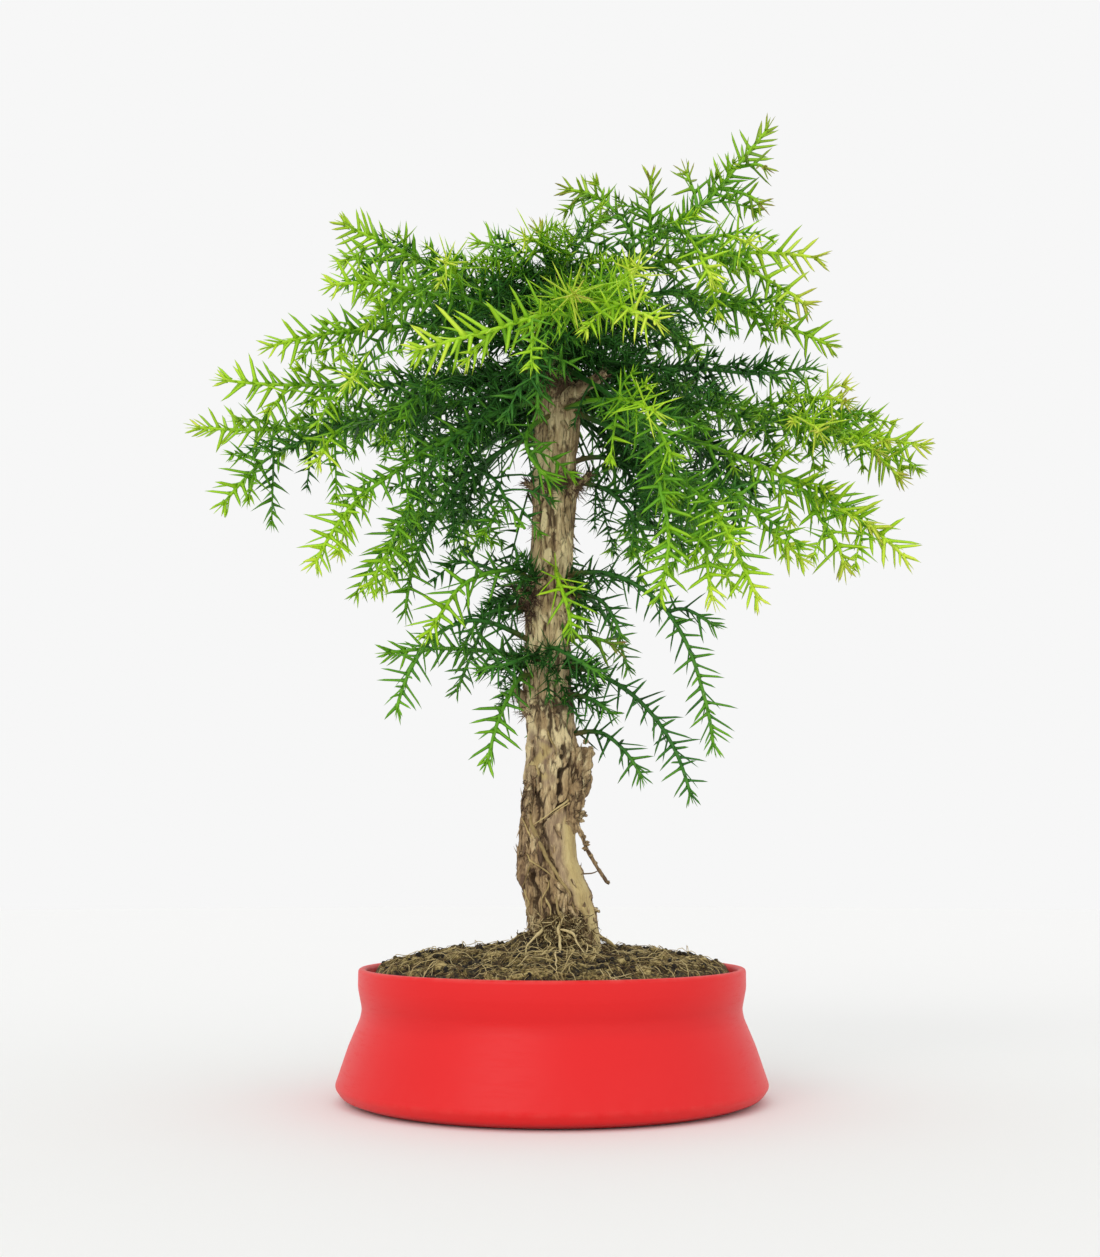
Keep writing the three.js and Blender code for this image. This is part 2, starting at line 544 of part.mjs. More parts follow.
// The point of a needle that is raised from a triangle of a stem's surface, or null where it
// can't be clear of the other pieces.
function needlePoint(foot, lean, { ring, shoot, random, rods }) {
  const root = foot[0].clone().add(foot[1]).add(foot[2]).divideScalar(3);
  const outward = root.clone().sub(ring.middle);
  outward.addScaledVector(ring.ahead, -outward.dot(ring.ahead)).normalize();
  const nearTip = clamp((ring.s - shoot.length + 30) / 30, 0, 1);
  const length = NEEDLE_LENGTH * lerp(1, 0.7, nearTip) * (0.86 + 0.28 * random());
  const from = lean * lerp(1, 0.68, nearTip) + 14 * (random() - 0.5);
  const stray = 24 * (random() - 0.5);
  for (const bend of BENDS) {
    const side = outward.clone().applyAxisAngle(ring.ahead, degToRad(bend.turn + stray));
    const angle = degToRad(from + bend.lean);
    const way = side.multiplyScalar(Math.sin(angle)).addScaledVector(ring.ahead, Math.cos(angle));
    const point = root.clone().addScaledVector(way, length * bend.share);
    const needle = rod(root, point, 1.4, 0.1, shoot.name);
    if (isClear(needle, rods)) {
      rods.push(needle);
      return point;
    }
  }
  return null;
}

// One shoot as a closed skin: a three-sided stem, the six triangles of each whorl raised into
// needles, and a last needle for its tip.
function shootSkin(shoot, rods, random) {
  const rings = stemRings(shoot);
  const triangles = [];
  const raise = (foot, lean, ring) => {
    const grows = random() < FULLNESS || ring.s > shoot.length - 2 * NEEDLE_FOOT;
    const point = grows && needlePoint(foot, lean, { ring, shoot, random, rods });
    if (point) foot.forEach((corner, k) => triangles.push([corner, foot[(k + 1) % 3], point]));
    else triangles.push(foot);
  };
  rings.slice(1).forEach((upper, i) => {
    const lower = rings[i];
    for (let k = 0; k < 3; k++) {
      const [a, b] = [lower.points[k], lower.points[(k + 1) % 3]];
      const [c, d] = [upper.points[(k + 1) % 3], upper.points[k]];
      if (i % 2 === 1) {
        raise([a, b, d], OUTER_LEAN, lower);
        raise([b, c, d], INNER_LEAN, lower);
      } else {
        triangles.push([a, b, c], [a, c, d]);
      }
    }
  });
  const last = rings[rings.length - 1];
  const point = last.middle.clone().addScaledVector(last.ahead, NEEDLE_LENGTH * 0.55);
  rods.push(rod(last.middle, point, 1.1, 0.1, shoot.name));
  triangles.push([...rings[0].points].reverse());
  last.points.forEach((corner, k) => triangles.push([corner, last.points[(k + 1) % 3], point]));
  return toSolid(fromTriangles(triangles));
}

// The plain hole that a stem of another piece leaves in what grows from it.
function stemSleeve(shoot) {
  const rings = stemRings(shoot).map(({ middle, points, radius }) => {
    const spokes = points.map((p) => p.clone().sub(middle).divideScalar(radius));
    const all = spokes.flatMap((spoke, k) => [spoke, spokes[(k + 1) % 3].clone().add(spoke)]);
    return all.map((spoke) => middle.clone().addScaledVector(spoke, (radius + GAP) * 1.16));
  });
  return toSolid(skin(rings));
}

// The rods that the needles keep clear of before any needle grows: the wood and every stem.
function woodAndStems(shoots) {
  const at = ({ x, y, z }) => vec(x, y, z);
  const rods = TRUNK.slice(1).map((high, i) => {
    const low = TRUNK[i];
    return rod(at(low), at(high), low.r * 1.1, high.r * 1.1, "trunk");
  });
  WOODY_PARTS.forEach(({ points, radii: [thickness] }) => {
    points.slice(1).forEach((end, i) => {
      rods.push(rod(vec(...points[i]), vec(...end), thickness, thickness, "trunk"));
    });
  });
  shoots.forEach((shoot) => {
    const rings = stemRings(shoot);
    rings.slice(1).forEach((upper, i) => {
      const lower = rings[i];
      rods.push(rod(lower.middle, upper.middle, lower.radius, upper.radius, shoot.name));
    });
  });
  return rods;
}

function makeShoots(trunkHole) {
  const laid = new Map();
  SHOOTS.forEach((row) => laid.set(row.name, layOut(row, laid)));
  const shoots = [...laid.values()];
  const rods = woodAndStems(shoots);
  const grown = shoots.map((shoot, i) => shootSkin(shoot, rods, seeded(i + 11)));
  const branches = shoots.filter(({ name, node }) => name === node);
  return branches.map((branch) => {
    const own = fuse(grown.filter((_, i) => shoots[i].node === branch.name));
    const hole = branch.parent ? stemSleeve(branch.parent) : trunkHole;
    return { name: "shoot_" + branch.name, tone: branch.tone, solid: own.subtract(hole) };
  });
}

const plant = new THREE.Group();
function place(name, solid, material) {
  const mesh = new THREE.Mesh(toGeometry(solid), material);
  mesh.name = name;
  plant.add(mesh);
}

const trunkHole = makeTrunk(GAP);
place("pot", makePot(), RED_PLASTIC);
place("soil", makeSoil(trunkHole), POTTING_SOIL);
place("trunk", makeTrunk(), BARK);
makeShoots(trunkHole).forEach(({ name, tone, solid }) => place(name, solid, NEEDLES[tone]));

export default plant;
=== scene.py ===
"""An araucaria bonsai in a low round red pot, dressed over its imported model.

Sizes in this file are millimetres, and become metres where a mesh is made.
"""

import json
from itertools import product
from math import radians, tau

import bpy
import numpy as np
from bpy.props import FloatProperty, FloatVectorProperty, IntProperty, PointerProperty
from bpy.types import Operator, Panel, PropertyGroup
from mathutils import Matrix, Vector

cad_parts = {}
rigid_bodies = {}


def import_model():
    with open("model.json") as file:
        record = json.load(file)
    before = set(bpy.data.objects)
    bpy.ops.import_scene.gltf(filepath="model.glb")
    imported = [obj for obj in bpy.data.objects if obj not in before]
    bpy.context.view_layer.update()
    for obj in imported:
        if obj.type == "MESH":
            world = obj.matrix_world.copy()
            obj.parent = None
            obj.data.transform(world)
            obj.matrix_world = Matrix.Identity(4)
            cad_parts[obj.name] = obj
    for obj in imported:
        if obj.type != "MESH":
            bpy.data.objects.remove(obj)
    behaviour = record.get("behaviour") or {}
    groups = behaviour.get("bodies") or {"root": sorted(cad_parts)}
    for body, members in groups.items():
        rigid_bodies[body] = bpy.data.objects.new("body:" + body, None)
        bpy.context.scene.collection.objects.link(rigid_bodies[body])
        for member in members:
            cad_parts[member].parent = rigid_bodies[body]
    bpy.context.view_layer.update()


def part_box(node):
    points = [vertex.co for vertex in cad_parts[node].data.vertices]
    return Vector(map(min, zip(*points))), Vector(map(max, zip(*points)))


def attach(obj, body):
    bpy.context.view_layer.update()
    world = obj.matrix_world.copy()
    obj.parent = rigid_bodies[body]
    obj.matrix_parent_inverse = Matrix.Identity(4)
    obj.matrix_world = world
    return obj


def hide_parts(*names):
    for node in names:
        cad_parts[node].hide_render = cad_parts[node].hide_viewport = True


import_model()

bl_info = {
    "name": "Araucaria bonsai",
    "version": (1, 0, 0),
    "blender": (4, 5, 0),
    "location": "View3D > Sidebar > Bonsai",
    "description": "A conifer bonsai with awl-shaped needles in a low round pot",
    "category": "Add Mesh",
}

MM = 0.001
UP = np.array([0.0, 0.0, 1.0])
GOLDEN = radians(137.508)
ASKEW = np.array([0.31, 0.17, 0.94])  # across any stem, none of which lies along it


# Arrays


def unit(vectors):
    """Each vector divided by its length."""
    return vectors / np.maximum(np.linalg.norm(vectors, axis=-1, keepdims=True), 1e-9)


def lerp(a, b, t):
    return a + (b - a) * t


def smooth(x, low, high):
    """0 below low, 1 above high, and 3t^2 - 2t^3 of the share t between them."""
    t = np.clip((x - low) / (high - low), 0, 1)
    return t * t * (3 - 2 * t)


def bell(x, half=1.0):
    """1 where x is 0, falling to 1/e at half on both sides of it."""
    return np.exp(-((x / half) ** 2))


def circle(count):
    """Angles spread evenly round a circle."""
    return np.arange(count) / count * tau


def outward(angle):
    """The level direction at an angle from +X."""
    return np.stack([np.cos(angle), np.sin(angle), np.zeros_like(angle)], axis=-1)


def wrapped(angle):
    """An angle brought between minus and plus half a turn."""
    return (angle + np.pi) % tau - np.pi


def lattice(cells, seed):
    """A number from 0 to 1 for each whole-number cell (..., 3).

    Its three indices and the seed are multiplied by large odd numbers and added, and the bits
    of the sum are mixed by two shifts and one more product.
    """
    x, y, z = np.moveaxis(cells.astype(np.uint32), -1, 0)
    h = x * np.uint32(374761393) + y * np.uint32(668265263) + z * np.uint32(2246822519)
    h = h + np.uint32(seed * 3266489917 & 0xFFFFFFFF)
    h = (h ^ (h >> np.uint32(13))) * np.uint32(1274126177)
    return (h ^ (h >> np.uint32(16))) / 4294967295.0


def noise(points, cell, seed=0):
    """Smooth noise from -1 to 1: the eight corner numbers of a point's cell, blended by the
    eased place of the point in the cell."""
    place = points / cell
    base = np.floor(place).astype(np.int64)
    part = place - base
    part = part * part * (3 - 2 * part)
    total = 0.0
    for corner in product((0, 1), repeat=3):
        weight = np.prod(np.where(corner, part, 1 - part), axis=-1)
        total = total + weight * lattice(base + np.array(corner), seed)
    return 2 * total - 1


def rough(points, cell, octaves, seed=0):
    """Noise of several sizes added up, each half as large and half as strong as the last."""
    return sum(noise(points, cell / 2**i, seed + i) / 2**i for i in range(octaves))


def noises(points, cell, seed):
    """Three noises as the parts of a vector."""
    return np.stack([noise(points, cell, seed + k) for k in range(3)], axis=-1)


def scales(points, cell, seed=0):
    """Irregular cells round scattered seeds: for each point, the distance to its second nearest
    seed less that to its nearest, in cells, which is 0 on an edge, and the nearest one's number."""
    place = points / cell
    base = np.floor(place).astype(np.int64)
    near = np.full(place.shape[:-1], 9.0)
    next_near, number = near.copy(), near.copy()
    for step in product((-1, 0, 1), repeat=3):
        here = base + np.array(step)
        jitter = np.stack([lattice(here, seed + k) for k in range(3)], axis=-1)
        apart = np.linalg.norm(here + jitter - place, axis=-1)
        closer = apart < near
        next_near = np.where(closer, near, np.minimum(next_near, apart))
        number = np.where(closer, lattice(here, seed + 3), number)
        near = np.minimum(near, apart)
    return next_near - near, number


# Shapes: points (n, 3), triangles (m, 3), and marks, which are one number for each point


def join(shapes):
    """One shape out of several, with the marks that all of them have."""
    points, faces, marks = zip(*shapes)
    starts = np.cumsum([0] + [len(part) for part in points[:-1]])
    faces = [part + start for part, start in zip(faces, starts)]
    shared = [name for name in marks[0] if all(name in part for part in marks)]
    joined = {name: np.concatenate([part[name] for part in marks]) for name in shared}
    return np.concatenate(points), np.concatenate(faces), joined


def closed_tubes(rings, poles=None, **marks):
    """Closed tubes from rings of points (tube, ring, side, 3).

    Neighbouring rings are joined by two triangles a side, and each end ring is closed by a fan
    to a pole (tube, 2, 3), which is its middle where none is given. A mark is one number for
    all, or one for each tube, ring or ring point, and a pole takes the mean of its ring's.
    """
    tubes, count, sides, _ = rings.shape
    if poles is None:
        poles = rings[:, [0, -1]].mean(axis=2)
    side = np.arange(sides)
    following = (side + 1) % sides
    a, b = (np.arange(count - 1)[:, None] * sides + start for start in (side, following))
    walls = np.stack([a, b, b + sides, a, b + sides, a + sides], axis=-1).reshape(-1, 3)
    foot, last = np.full(sides, count * sides), (count - 1) * sides
    bottom = np.stack([foot, following, side], axis=-1)
    top = np.stack([foot + 1, last + side, last + following], axis=-1)
    first = np.arange(tubes) * (count * sides + 2)
    faces = np.concatenate([walls, bottom, top]) + first[:, None, None]
    points = np.concatenate([rings.reshape(tubes, -1, 3), poles], axis=1)
    flat = {}
    for name, mark in marks.items():
        mark = np.reshape(mark, np.shape(mark) + (1,) * (3 - np.ndim(mark)))
        mark = np.broadcast_to(mark, rings.shape[:3])
        ends = mark[:, [0, -1]].mean(axis=2)
        flat[name] = np.concatenate([mark.reshape(tubes, -1), ends], axis=1).ravel()
    return points.reshape(-1, 3), faces.reshape(-1, 3), flat


def round_rings(paths, radii, sides):
    """Rings of points (tube, ring, side, 3) round each point of each path (tube, ring, 3).

    A ring lies across its path. Its first direction is the last ring's, less the part of it
    that lies along the path, so that the rings don't twist.
    """
    ahead = unit(np.gradient(paths, axis=1))
    across = np.empty_like(ahead)
    aside = np.where(np.abs(ahead[:, :1, 2:]) < 0.8, UP, np.array([1.0, 0.0, 0.0]))
    across[:, 0] = unit(np.cross(ahead[:, 0], aside[:, 0]))
    for i in range(1, paths.shape[1]):
        dot = (across[:, i - 1] * ahead[:, i]).sum(axis=-1, keepdims=True)
        across[:, i] = unit(across[:, i - 1] - dot * ahead[:, i])
    over = np.cross(ahead, across)
    angle = circle(sides)[:, None]
    turn = np.cos(angle) * across[:, :, None] + np.sin(angle) * over[:, :, None]
    return paths[:, :, None] + np.asarray(radii)[..., None, None] * turn


def through(points, count):
    """A smooth line of count points through a few: a cubic for each span, which passes its two
    points in the direction from the point before each to the point after it."""
    given = np.asarray(points, dtype=float)
    ends = [2 * given[:1] - given[1:2], given, 2 * given[-1:] - given[-2:-1]]
    p = np.concatenate(ends)
    at = np.linspace(0, len(given) - 1, count)
    i = np.minimum(at.astype(int), len(given) - 2)
    t = (at - i)[:, None]
    a, b, c, d = p[i], p[i + 1], p[i + 2], p[i + 3]
    return 0.5 * (2 * b + (c - a) * t + (2 * a - 5 * b + 4 * c - d) * t**2 + (3 * b - a - 3 * c + d) * t**3)


def arches(starts, middles, tips, count):
    """Lines (line, count, 3) on the quadratic curve through a start, a middle and a tip, with
    their points at equal lengths along the curve, and the lengths of the lines."""
    fine = np.linspace(0, 1, 6 * count)[None, :, None]
    bend = 2 * middles - (starts + tips) / 2
    a, b, c = starts[:, None], bend[:, None], tips[:, None]
    line = (1 - fine) ** 2 * a + 2 * fine * (1 - fine) * b + fine**2 * c
    step = np.linalg.norm(np.diff(line, axis=1), axis=-1)
    run = np.concatenate([np.zeros((len(step), 1)), np.cumsum(step, axis=1)], axis=1)
    even = run[:, -1:] * np.linspace(0, 1, count)
    index = (run[:, None, :] <= even[:, :, None]).sum(axis=-1).clip(1, run.shape[1] - 1)
    low = np.take_along_axis(run, index - 1, axis=1)
    high = np.take_along_axis(run, index, axis=1)
    part = ((even - low) / (high - low))[..., None]
    rows = np.arange(len(line))[:, None]
    return lerp(line[rows, index - 1], line[rows, index], part), run[:, -1]


def place_on(paths, which, share):
    """The point and the direction at a share of the length of the path of each number."""
    steps = paths.shape[1] - 1
    i = np.minimum((share * steps).astype(int), steps - 1)
    a, b = paths[which, i], paths[which, i + 1]
    return lerp(a, b, (share * steps - i)[:, None]), unit(b - a)


# Blade forms: each row is a share of a blade's length, and of its width there.
AWL = np.array([(0.0, 1.0), (0.16, 0.54), (0.72, 0.41)])
THIN_AWL = np.array([(0.0, 1.0), (0.5, 0.5)])
PLATE = np.array([(0.0, 1.0), (0.2, 1.05), (0.6, 0.8)])


def blades(roots, ways, edges, length, width, thickness, curl=0.0, form=AWL, **own):
    """Closed narrow blades with a sharp tip, whose cross-section is a lozenge.

    At share u of its length a blade's middle is root + way * length * u + edge * curl * length
    * u^2. Its width and thickness there are those of its root times its form's share: an awl
    flares at its foot, and a plate stays wide. The marks are u, the ridge, which is 1 on the two
    flat sides' middles and 0 on the sharp edges, and each blade's own.
    """
    edges = unit(edges - (edges * ways).sum(-1, keepdims=True) * ways)
    sides = np.cross(ways, edges)
    bow = curl * length
    tips = roots + ways * length[:, None] + edges * bow[:, None]
    length, bow, wide, thick = (np.reshape(v, (-1, 1, 1)) for v in (length, bow, width / 2, thickness / 2))
    u, taper = form.T[:, None, :, None]
    middle = roots[:, None] + ways[:, None] * (length * u) + edges[:, None] * (bow * u**2)
    half, deep = edges[:, None] * wide * taper, sides[:, None] * thick * taper
    rings = np.stack([middle + half, middle + deep, middle - half, middle - deep], axis=2)
    share, ridge = form[None, :, :1], np.array([[[0.0, 1.0, 0.0, 1.0]]])
    poles = np.stack([roots, tips], axis=1)
    points, faces, marks = closed_tubes(rings, poles, share=share, ridge=ridge, **own)
    size = rings.shape[1] * rings.shape[2] + 2
    marks["share"][size - 1 :: size] = 1
    return points, faces, marks


def link(name, data):
    """A new object with some data, put in the scene."""
    thing = bpy.data.objects.new(name, data)
    bpy.context.scene.collection.objects.link(thing)
    return thing


def make_piece(name, shape, material, slot, *nodes):
    """A smooth mesh object of a shape, which stands for the named nodes of the model."""
    points, faces, marks = shape
    if not np.isfinite(points).all():
        raise ValueError(f"{name} has a point that isn't a number")
    mesh = bpy.data.meshes.new(name)
    mesh.vertices.add(len(points))
    mesh.vertices.foreach_set("co", (points * MM).astype(np.float32).ravel())
    mesh.loops.add(faces.size)
    mesh.loops.foreach_set("vertex_index", faces.astype(np.int32).ravel())
    mesh.polygons.add(len(faces))
    mesh.polygons.foreach_set("loop_start", np.arange(0, faces.size, 3, dtype=np.int32))
    mesh.polygons.foreach_set("use_smooth", np.ones(len(faces), dtype=bool))
    mesh.update(calc_edges=True)
    for mark, values in marks.items():
        attribute = mesh.attributes.new(mark, "FLOAT", "POINT")
        attribute.data.foreach_set("value", values.astype(np.float32))
    mesh.materials.append(material)
    piece = link(name, mesh)
    if nodes:
        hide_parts(*nodes)
    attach(piece, "root")
    return piece


# Materials


def colour(code):
    """A web colour as the linear numbers that a shader takes."""
    parts = np.array([int(code[i : i + 2], 16) for i in (1, 3, 5)]) / 255
    return tuple(np.where(parts <= 0.04045, parts / 12.92, ((parts + 0.055) / 1.055) ** 2.4).tolist())


def opaque(shade):
    """A setting, three numbers or a web colour as a colour with full opacity."""
    return (*(colour(shade) if isinstance(shade, str) else shade[:]), 1.0)


class Wire:
    """A shader's output socket. An expression on it adds the Math nodes for it."""

    def __init__(self, finish, socket):
        self.finish, self.socket = finish, socket

    def maths(self, operation, *values):
        return self.finish.add("Math", dict(enumerate(values)), operation=operation)

    def __add__(self, other):
        return self.maths("ADD", self, other)

    def __sub__(self, other):
        return self.maths("SUBTRACT", self, other)

    def __rsub__(self, other):
        return self.maths("SUBTRACT", other, self)

    def __mul__(self, other):
        return self.maths("MULTIPLY", self, other)

    __radd__, __rmul__ = __add__, __mul__

    def between(self, low, high):
        """0 where this is low or less, 1 where it is high or more, eased between them."""
        inputs = {0: self, 1: low, 2: high}
        return self.finish.add("MapRange", inputs, interpolation_type="SMOOTHSTEP")


class Finish:
    """A material, whose nodes are added one call at a time."""

    def __init__(self, name):
        self.material = bpy.data.materials.new(name)
        self.material.use_nodes = True
        self.tree = self.material.node_tree
        self.tree.nodes.clear()

    def add(self, kind, inputs=None, output=0, **settings):
        """A node of a kind, its settings first and then the values or links of its inputs. Gives
        one of its outputs, by number or name."""
        node = self.tree.nodes.new("ShaderNode" + kind)
        for name, value in settings.items():
            setattr(node, name, value)
        for key, value in (inputs or {}).items():
            if isinstance(value, Wire):
                self.tree.links.new(value.socket, node.inputs[key])
            else:
                node.inputs[key].default_value = value
        return None if output is None else Wire(self, node.outputs[output])

    def where(self, scale=(1, 1, 1)):
        """The object's own coordinates in metres, stretched along its axes."""
        place = self.add("TexCoord", output="Object")
        return self.add("Mapping", {"Vector": place, "Scale": scale})

    def height(self):
        """The object's own Z in metres."""
        return self.add("SeparateXYZ", {0: self.add("TexCoord", output="Object")}, "Z")

    def speckle(self, place, size, detail=4.0, roughness=0.55, output=0):
        """Noise from 0 to 1 whose largest features are about size millimetres across."""
        inputs = {"Vector": place, "Scale": 1 / (size * MM), "Detail": detail, "Roughness": roughness}
        return self.add("TexNoise", inputs, output)

    def cells(self, place, size, feature="F1", output="Distance"):
        """Irregular cells of about size millimetres: a distance in them, or their colour."""
        return self.add("TexVoronoi", {"Vector": place, "Scale": 1 / (size * MM)}, output, feature=feature)

    def stirred(self, place, size, reach):
        """A place moved by up to about half the reach, in millimetres, by coloured noise."""
        stir = self.speckle(place, size, 3.0, 0.5, "Color")
        return self.add("VectorMath", {0: stir, 1: (reach * MM,) * 3, 2: place}, operation="MULTIPLY_ADD")

    def mark(self, name):
        """A number that the piece's points carry."""
        return self.add("Attribute", output="Fac", attribute_name=name)

    def ramp(self, factor, *stops):
        """The colour at a factor between stops, which are pairs of a place and a colour."""
        wire = self.add("ValToRGB", {"Fac": factor})
        elements = wire.socket.node.color_ramp.elements
        while len(elements) < len(stops):
            elements.new(1.0)
        for element, (place, shade) in zip(elements, stops):
            element.position, element.color = place, opaque(shade)
        return wire

    def mix(self, factor, a, b, blend="MIX"):
        """Colour a turned towards b by the factor."""
        a, b = (c if isinstance(c, Wire) else opaque(c) for c in (a, b))
        return self.add("Mix", {0: factor, 6: a, 7: b}, 2, data_type="RGBA", blend_type=blend)

    def shade(self, base, roughness, height=None, depth=0.0, gloss=0.5):
        """The finished material, with a bump where a height is given, which rises by depth
        millimetres from 0 to 1."""
        inputs = {"Base Color": base, "Roughness": roughness, "Specular IOR Level": gloss}
        if height is not None:
            bump = {"Height": height, "Distance": depth * MM, "Strength": 1.0}
            inputs["Normal"] = self.add("Bump", bump, "Normal")
        self.add("OutputMaterial", {"Surface": self.add("BsdfPrincipled", inputs)}, None)
        return self.material


# Settings


def tint(name, code, description):
    """A colour."""
    return FloatVectorProperty(
        name=name, description=description, subtype="COLOR", size=3, min=0, max=1, default=colour(code)
    )


def size(name, millimetres, description):
    """A length."""
    return FloatProperty(
        name=name, description=description, unit="LENGTH", min=0, precision=4, default=millimetres * MM
    )


def tally(name, count, description):
    """A number of things."""
    return IntProperty(name=name, description=description, subtype="UNSIGNED", min=0, default=count)


def slant(name, degrees, description):
    """An angle."""
    return FloatProperty(name=name, description=description, subtype="ANGLE", default=radians(degrees))


def strength(name, share, description):
    """A share."""
    return FloatProperty(name=name, description=description, subtype="FACTOR", min=0, default=share)


POT_LOW, POT_HIGH = (np.array(corner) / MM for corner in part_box("pot"))


class PotSettings(PropertyGroup):
    width: size("Width", float(POT_HIGH[0] - POT_LOW[0]), "Across the widest part of the skirt")
    height: size("Height", float(POT_HIGH[2]), "From the foot to the rim")
    corner: size("Corner", 2.2, "How far each moulded corner is rounded")
    red: tint("Red", "#dd2122", "The plastic's colour")
    # The red of the painted shade in the waist and under the foot, which the mottling also reaches.
    deep_red: tint("Deep red", "#c71b1d", "Its colour in the hollow of the waist and under the foot")
    # The paler edge colour: rubbed wear, and a painted highlight along the rim and the skirt's corner.
    worn: tint("Worn edge", "#e6625c", "Its colour along the rubbed edges")


class SoilSettings(PropertyGroup):
    clods: size("Clods", 1.7, "Height of the lumps on the surface")
    fibres: tally("Fibres", 2100, "Number of dry strands")
    crumbs: tally("Crumbs", 900, "Number of loose crumbs")
    # The darkest peat, which also paints the shade in the hollows between the clods.
    dark: tint("Damp peat", "#181007", "The soil between the clods")
    brown: tint("Peat", "#554621", "The soil")
    straw: tint("Straw", "#c6b076", "The dry strands")


class BarkSettings(PropertyGroup):
    scale_height: size("Scale height", 1.5, "How far a scale of bark stands out")
    scale_width: size("Scale width", 6.4, "Width of a scale of bark")
    # The darkest bark: in the joints between scales, and the painted shade in the folds, the whorl rings and
    # the limbs' hollows.
    fissure_and_shade: tint("Fissure", "#3f2a16", "Deep in the cracks")
    brown: tint("Bark", "#a98d63", "The scales of bark")
    pale: tint("Pale bark", "#f2deab", "The thin, worn scales")
    grey: tint("Grey bark", "#83715a", "The younger bark under the crown")
    sapwood: tint("Smooth wood", "#cfb87c", "The smooth rib at the foot, and the roots")
    flakes: tally("Flakes", 520, "Number of lifted flakes")


class LeafSettings(PropertyGroup):
    length: size("Needle", 17.5, "Length of a full-grown needle")
    width: size("Needle width", 3.9, "Width of a needle at its foot")
    spacing: size("Spacing", 2.4, "Along the stem, from one needle to the next")
    foot_lean: slant("Lean", 66, "From the stem")
    tip_lean: slant("Lean at the tip", 44, "From the stem")
    # The darkest green: old needles deep in the crown, and the painted shade there.
    oldest_and_shaded: tint("Oldest", "#163a12", "Needles deep in the crown")
    old: tint("Old", "#377226", "Last year's needles")
    grown: tint("Grown", "#69a71c", "Full-grown needles")
    young: tint("Young", "#a5d322", "This year's needles")
    newest: tint("Newest", "#d3e64a", "Needles at the growing tips")
    rust: tint("Rust", "#8d5a3c", "The tips that the sun has browned")


class StageSettings(PropertyGroup):
    floor: tint("Floor", "#f0f0ef", "The floor's colour")
    sky: strength("Surroundings", 0.93, "Strength of the white light round")
    key: strength("Key light", 0.75, "Strength of the main lamp")
    fill: strength("Fill light", 0.25, "Strength of the second lamp")


class BonsaiSettings(PropertyGroup):
    pot: PointerProperty(type=PotSettings)
    soil: PointerProperty(type=SoilSettings)
    bark: PointerProperty(type=BarkSettings)
    leaf: PointerProperty(type=LeafSettings)
    stage: PointerProperty(type=StageSettings)


# Pot

# Its profile, (radius, height): the outside from the foot up to the rim, and the inside down.
POT_OUTSIDE = [
    (114, 0), (122, 3), (126, 8.5), (118.5, 31), (112, 46.5), (111, 52), (113.5, 64), (113.5, 75),
]  # fmt: skip
POT_INSIDE = [(109, 75), (106.5, 52), (114, 31), (121.5, 11), (118, 5)]
# The rubbed edges below are also painted paler as a highlight.
POT_RIM, POT_SKIRT = 75, 8.5  # heights of the edges that are rubbed
POT_SIDES, DRILL_SIDES = 192, 32
DRAIN_RADIUS, DRAIN_CIRCLE, DRAIN_DIRECTIONS = 7, 62, (90, 210, 330)


def rounded(profile, cut, steps=4):
    """A profile (n, 2) with each inner corner replaced by the quadratic curve that leaves one of
    its edges and meets the other at the cut's distance, or at 45% of a shorter edge."""
    corners = np.asarray(profile, dtype=float)
    edge = np.diff(corners, axis=0)
    length = np.linalg.norm(edge, axis=1)
    way = edge / length[:, None]
    back, on = np.minimum(cut, 0.45 * length[:-1]), np.minimum(cut, 0.45 * length[1:])
    middle = corners[1:-1]
    a, b = middle - way[:-1] * back[:, None], middle + way[1:] * on[:, None]
    t = np.linspace(0, 1, steps + 1)[None, :, None]
    bends = (1 - t) ** 2 * a[:, None] + 2 * t * (1 - t) * middle[:, None] + t**2 * b[:, None]
    return np.concatenate([corners[:1], bends.reshape(-1, 2), corners[-1:]])


def turned(profile, sides):
    """Rings (1, ring, side, 3) of a profile turned round the Z axis."""
    r, z = np.asarray(profile).T
    return (r[:, None, None] * outward(circle(sides)) + z[:, None, None] * UP)[None]


def pot_shape(settings):
    """The rounded profile turned once round, closed by a pole under the foot and one on the
    floor. The mark is 1 on the rim and the skirt's corner, which are painted paler as rubbed
    wear and as a painted highlight, and 0 elsewhere."""
    wide = settings.width / MM / 2 / max(r for r, _ in POT_OUTSIDE)
    high = settings.height / MM / POT_RIM
    profile = np.array([(30, 0), (90, 0), *POT_OUTSIDE, *POT_INSIDE, (90, 5), (30, 5)]) * (wide, high)
    line = rounded(profile, settings.corner / MM)
    r, z = line.T
    edge = bell(z - POT_RIM * high, 1.1) + 0.3 * bell(z - POT_SKIRT, 1.6) * (r > 120)
    return closed_tubes(turned(line, POT_SIDES), edge=edge[None])


def drill_drains(pot):
    """Cuts the three round drain holes through the pot's floor."""
    bit = turned([(DRAIN_RADIUS, -5), (DRAIN_RADIUS, 12)], DRILL_SIDES)
    centres = DRAIN_CIRCLE * outward(np.radians(DRAIN_DIRECTIONS))
    points, faces, _ = join([closed_tubes(bit + centre) for centre in centres])
    mesh = bpy.data.meshes.new("drill")
    mesh.from_pydata((points * MM).tolist(), [], faces.tolist())
    drill = link("drill", mesh)
    cut = pot.modifiers.new("drains", "BOOLEAN")
    cut.operation, cut.object, cut.solver = "DIFFERENCE", drill, "EXACT"
    whole = pot.evaluated_get(bpy.context.evaluated_depsgraph_get())
    drilled = bpy.data.meshes.new_from_object(whole)
    pot.modifiers.clear()
    pot.data = drilled
    bpy.data.objects.remove(drill)
    if len(drilled.polygons) < 1000:
        raise RuntimeError("the drain holes weren't cut")


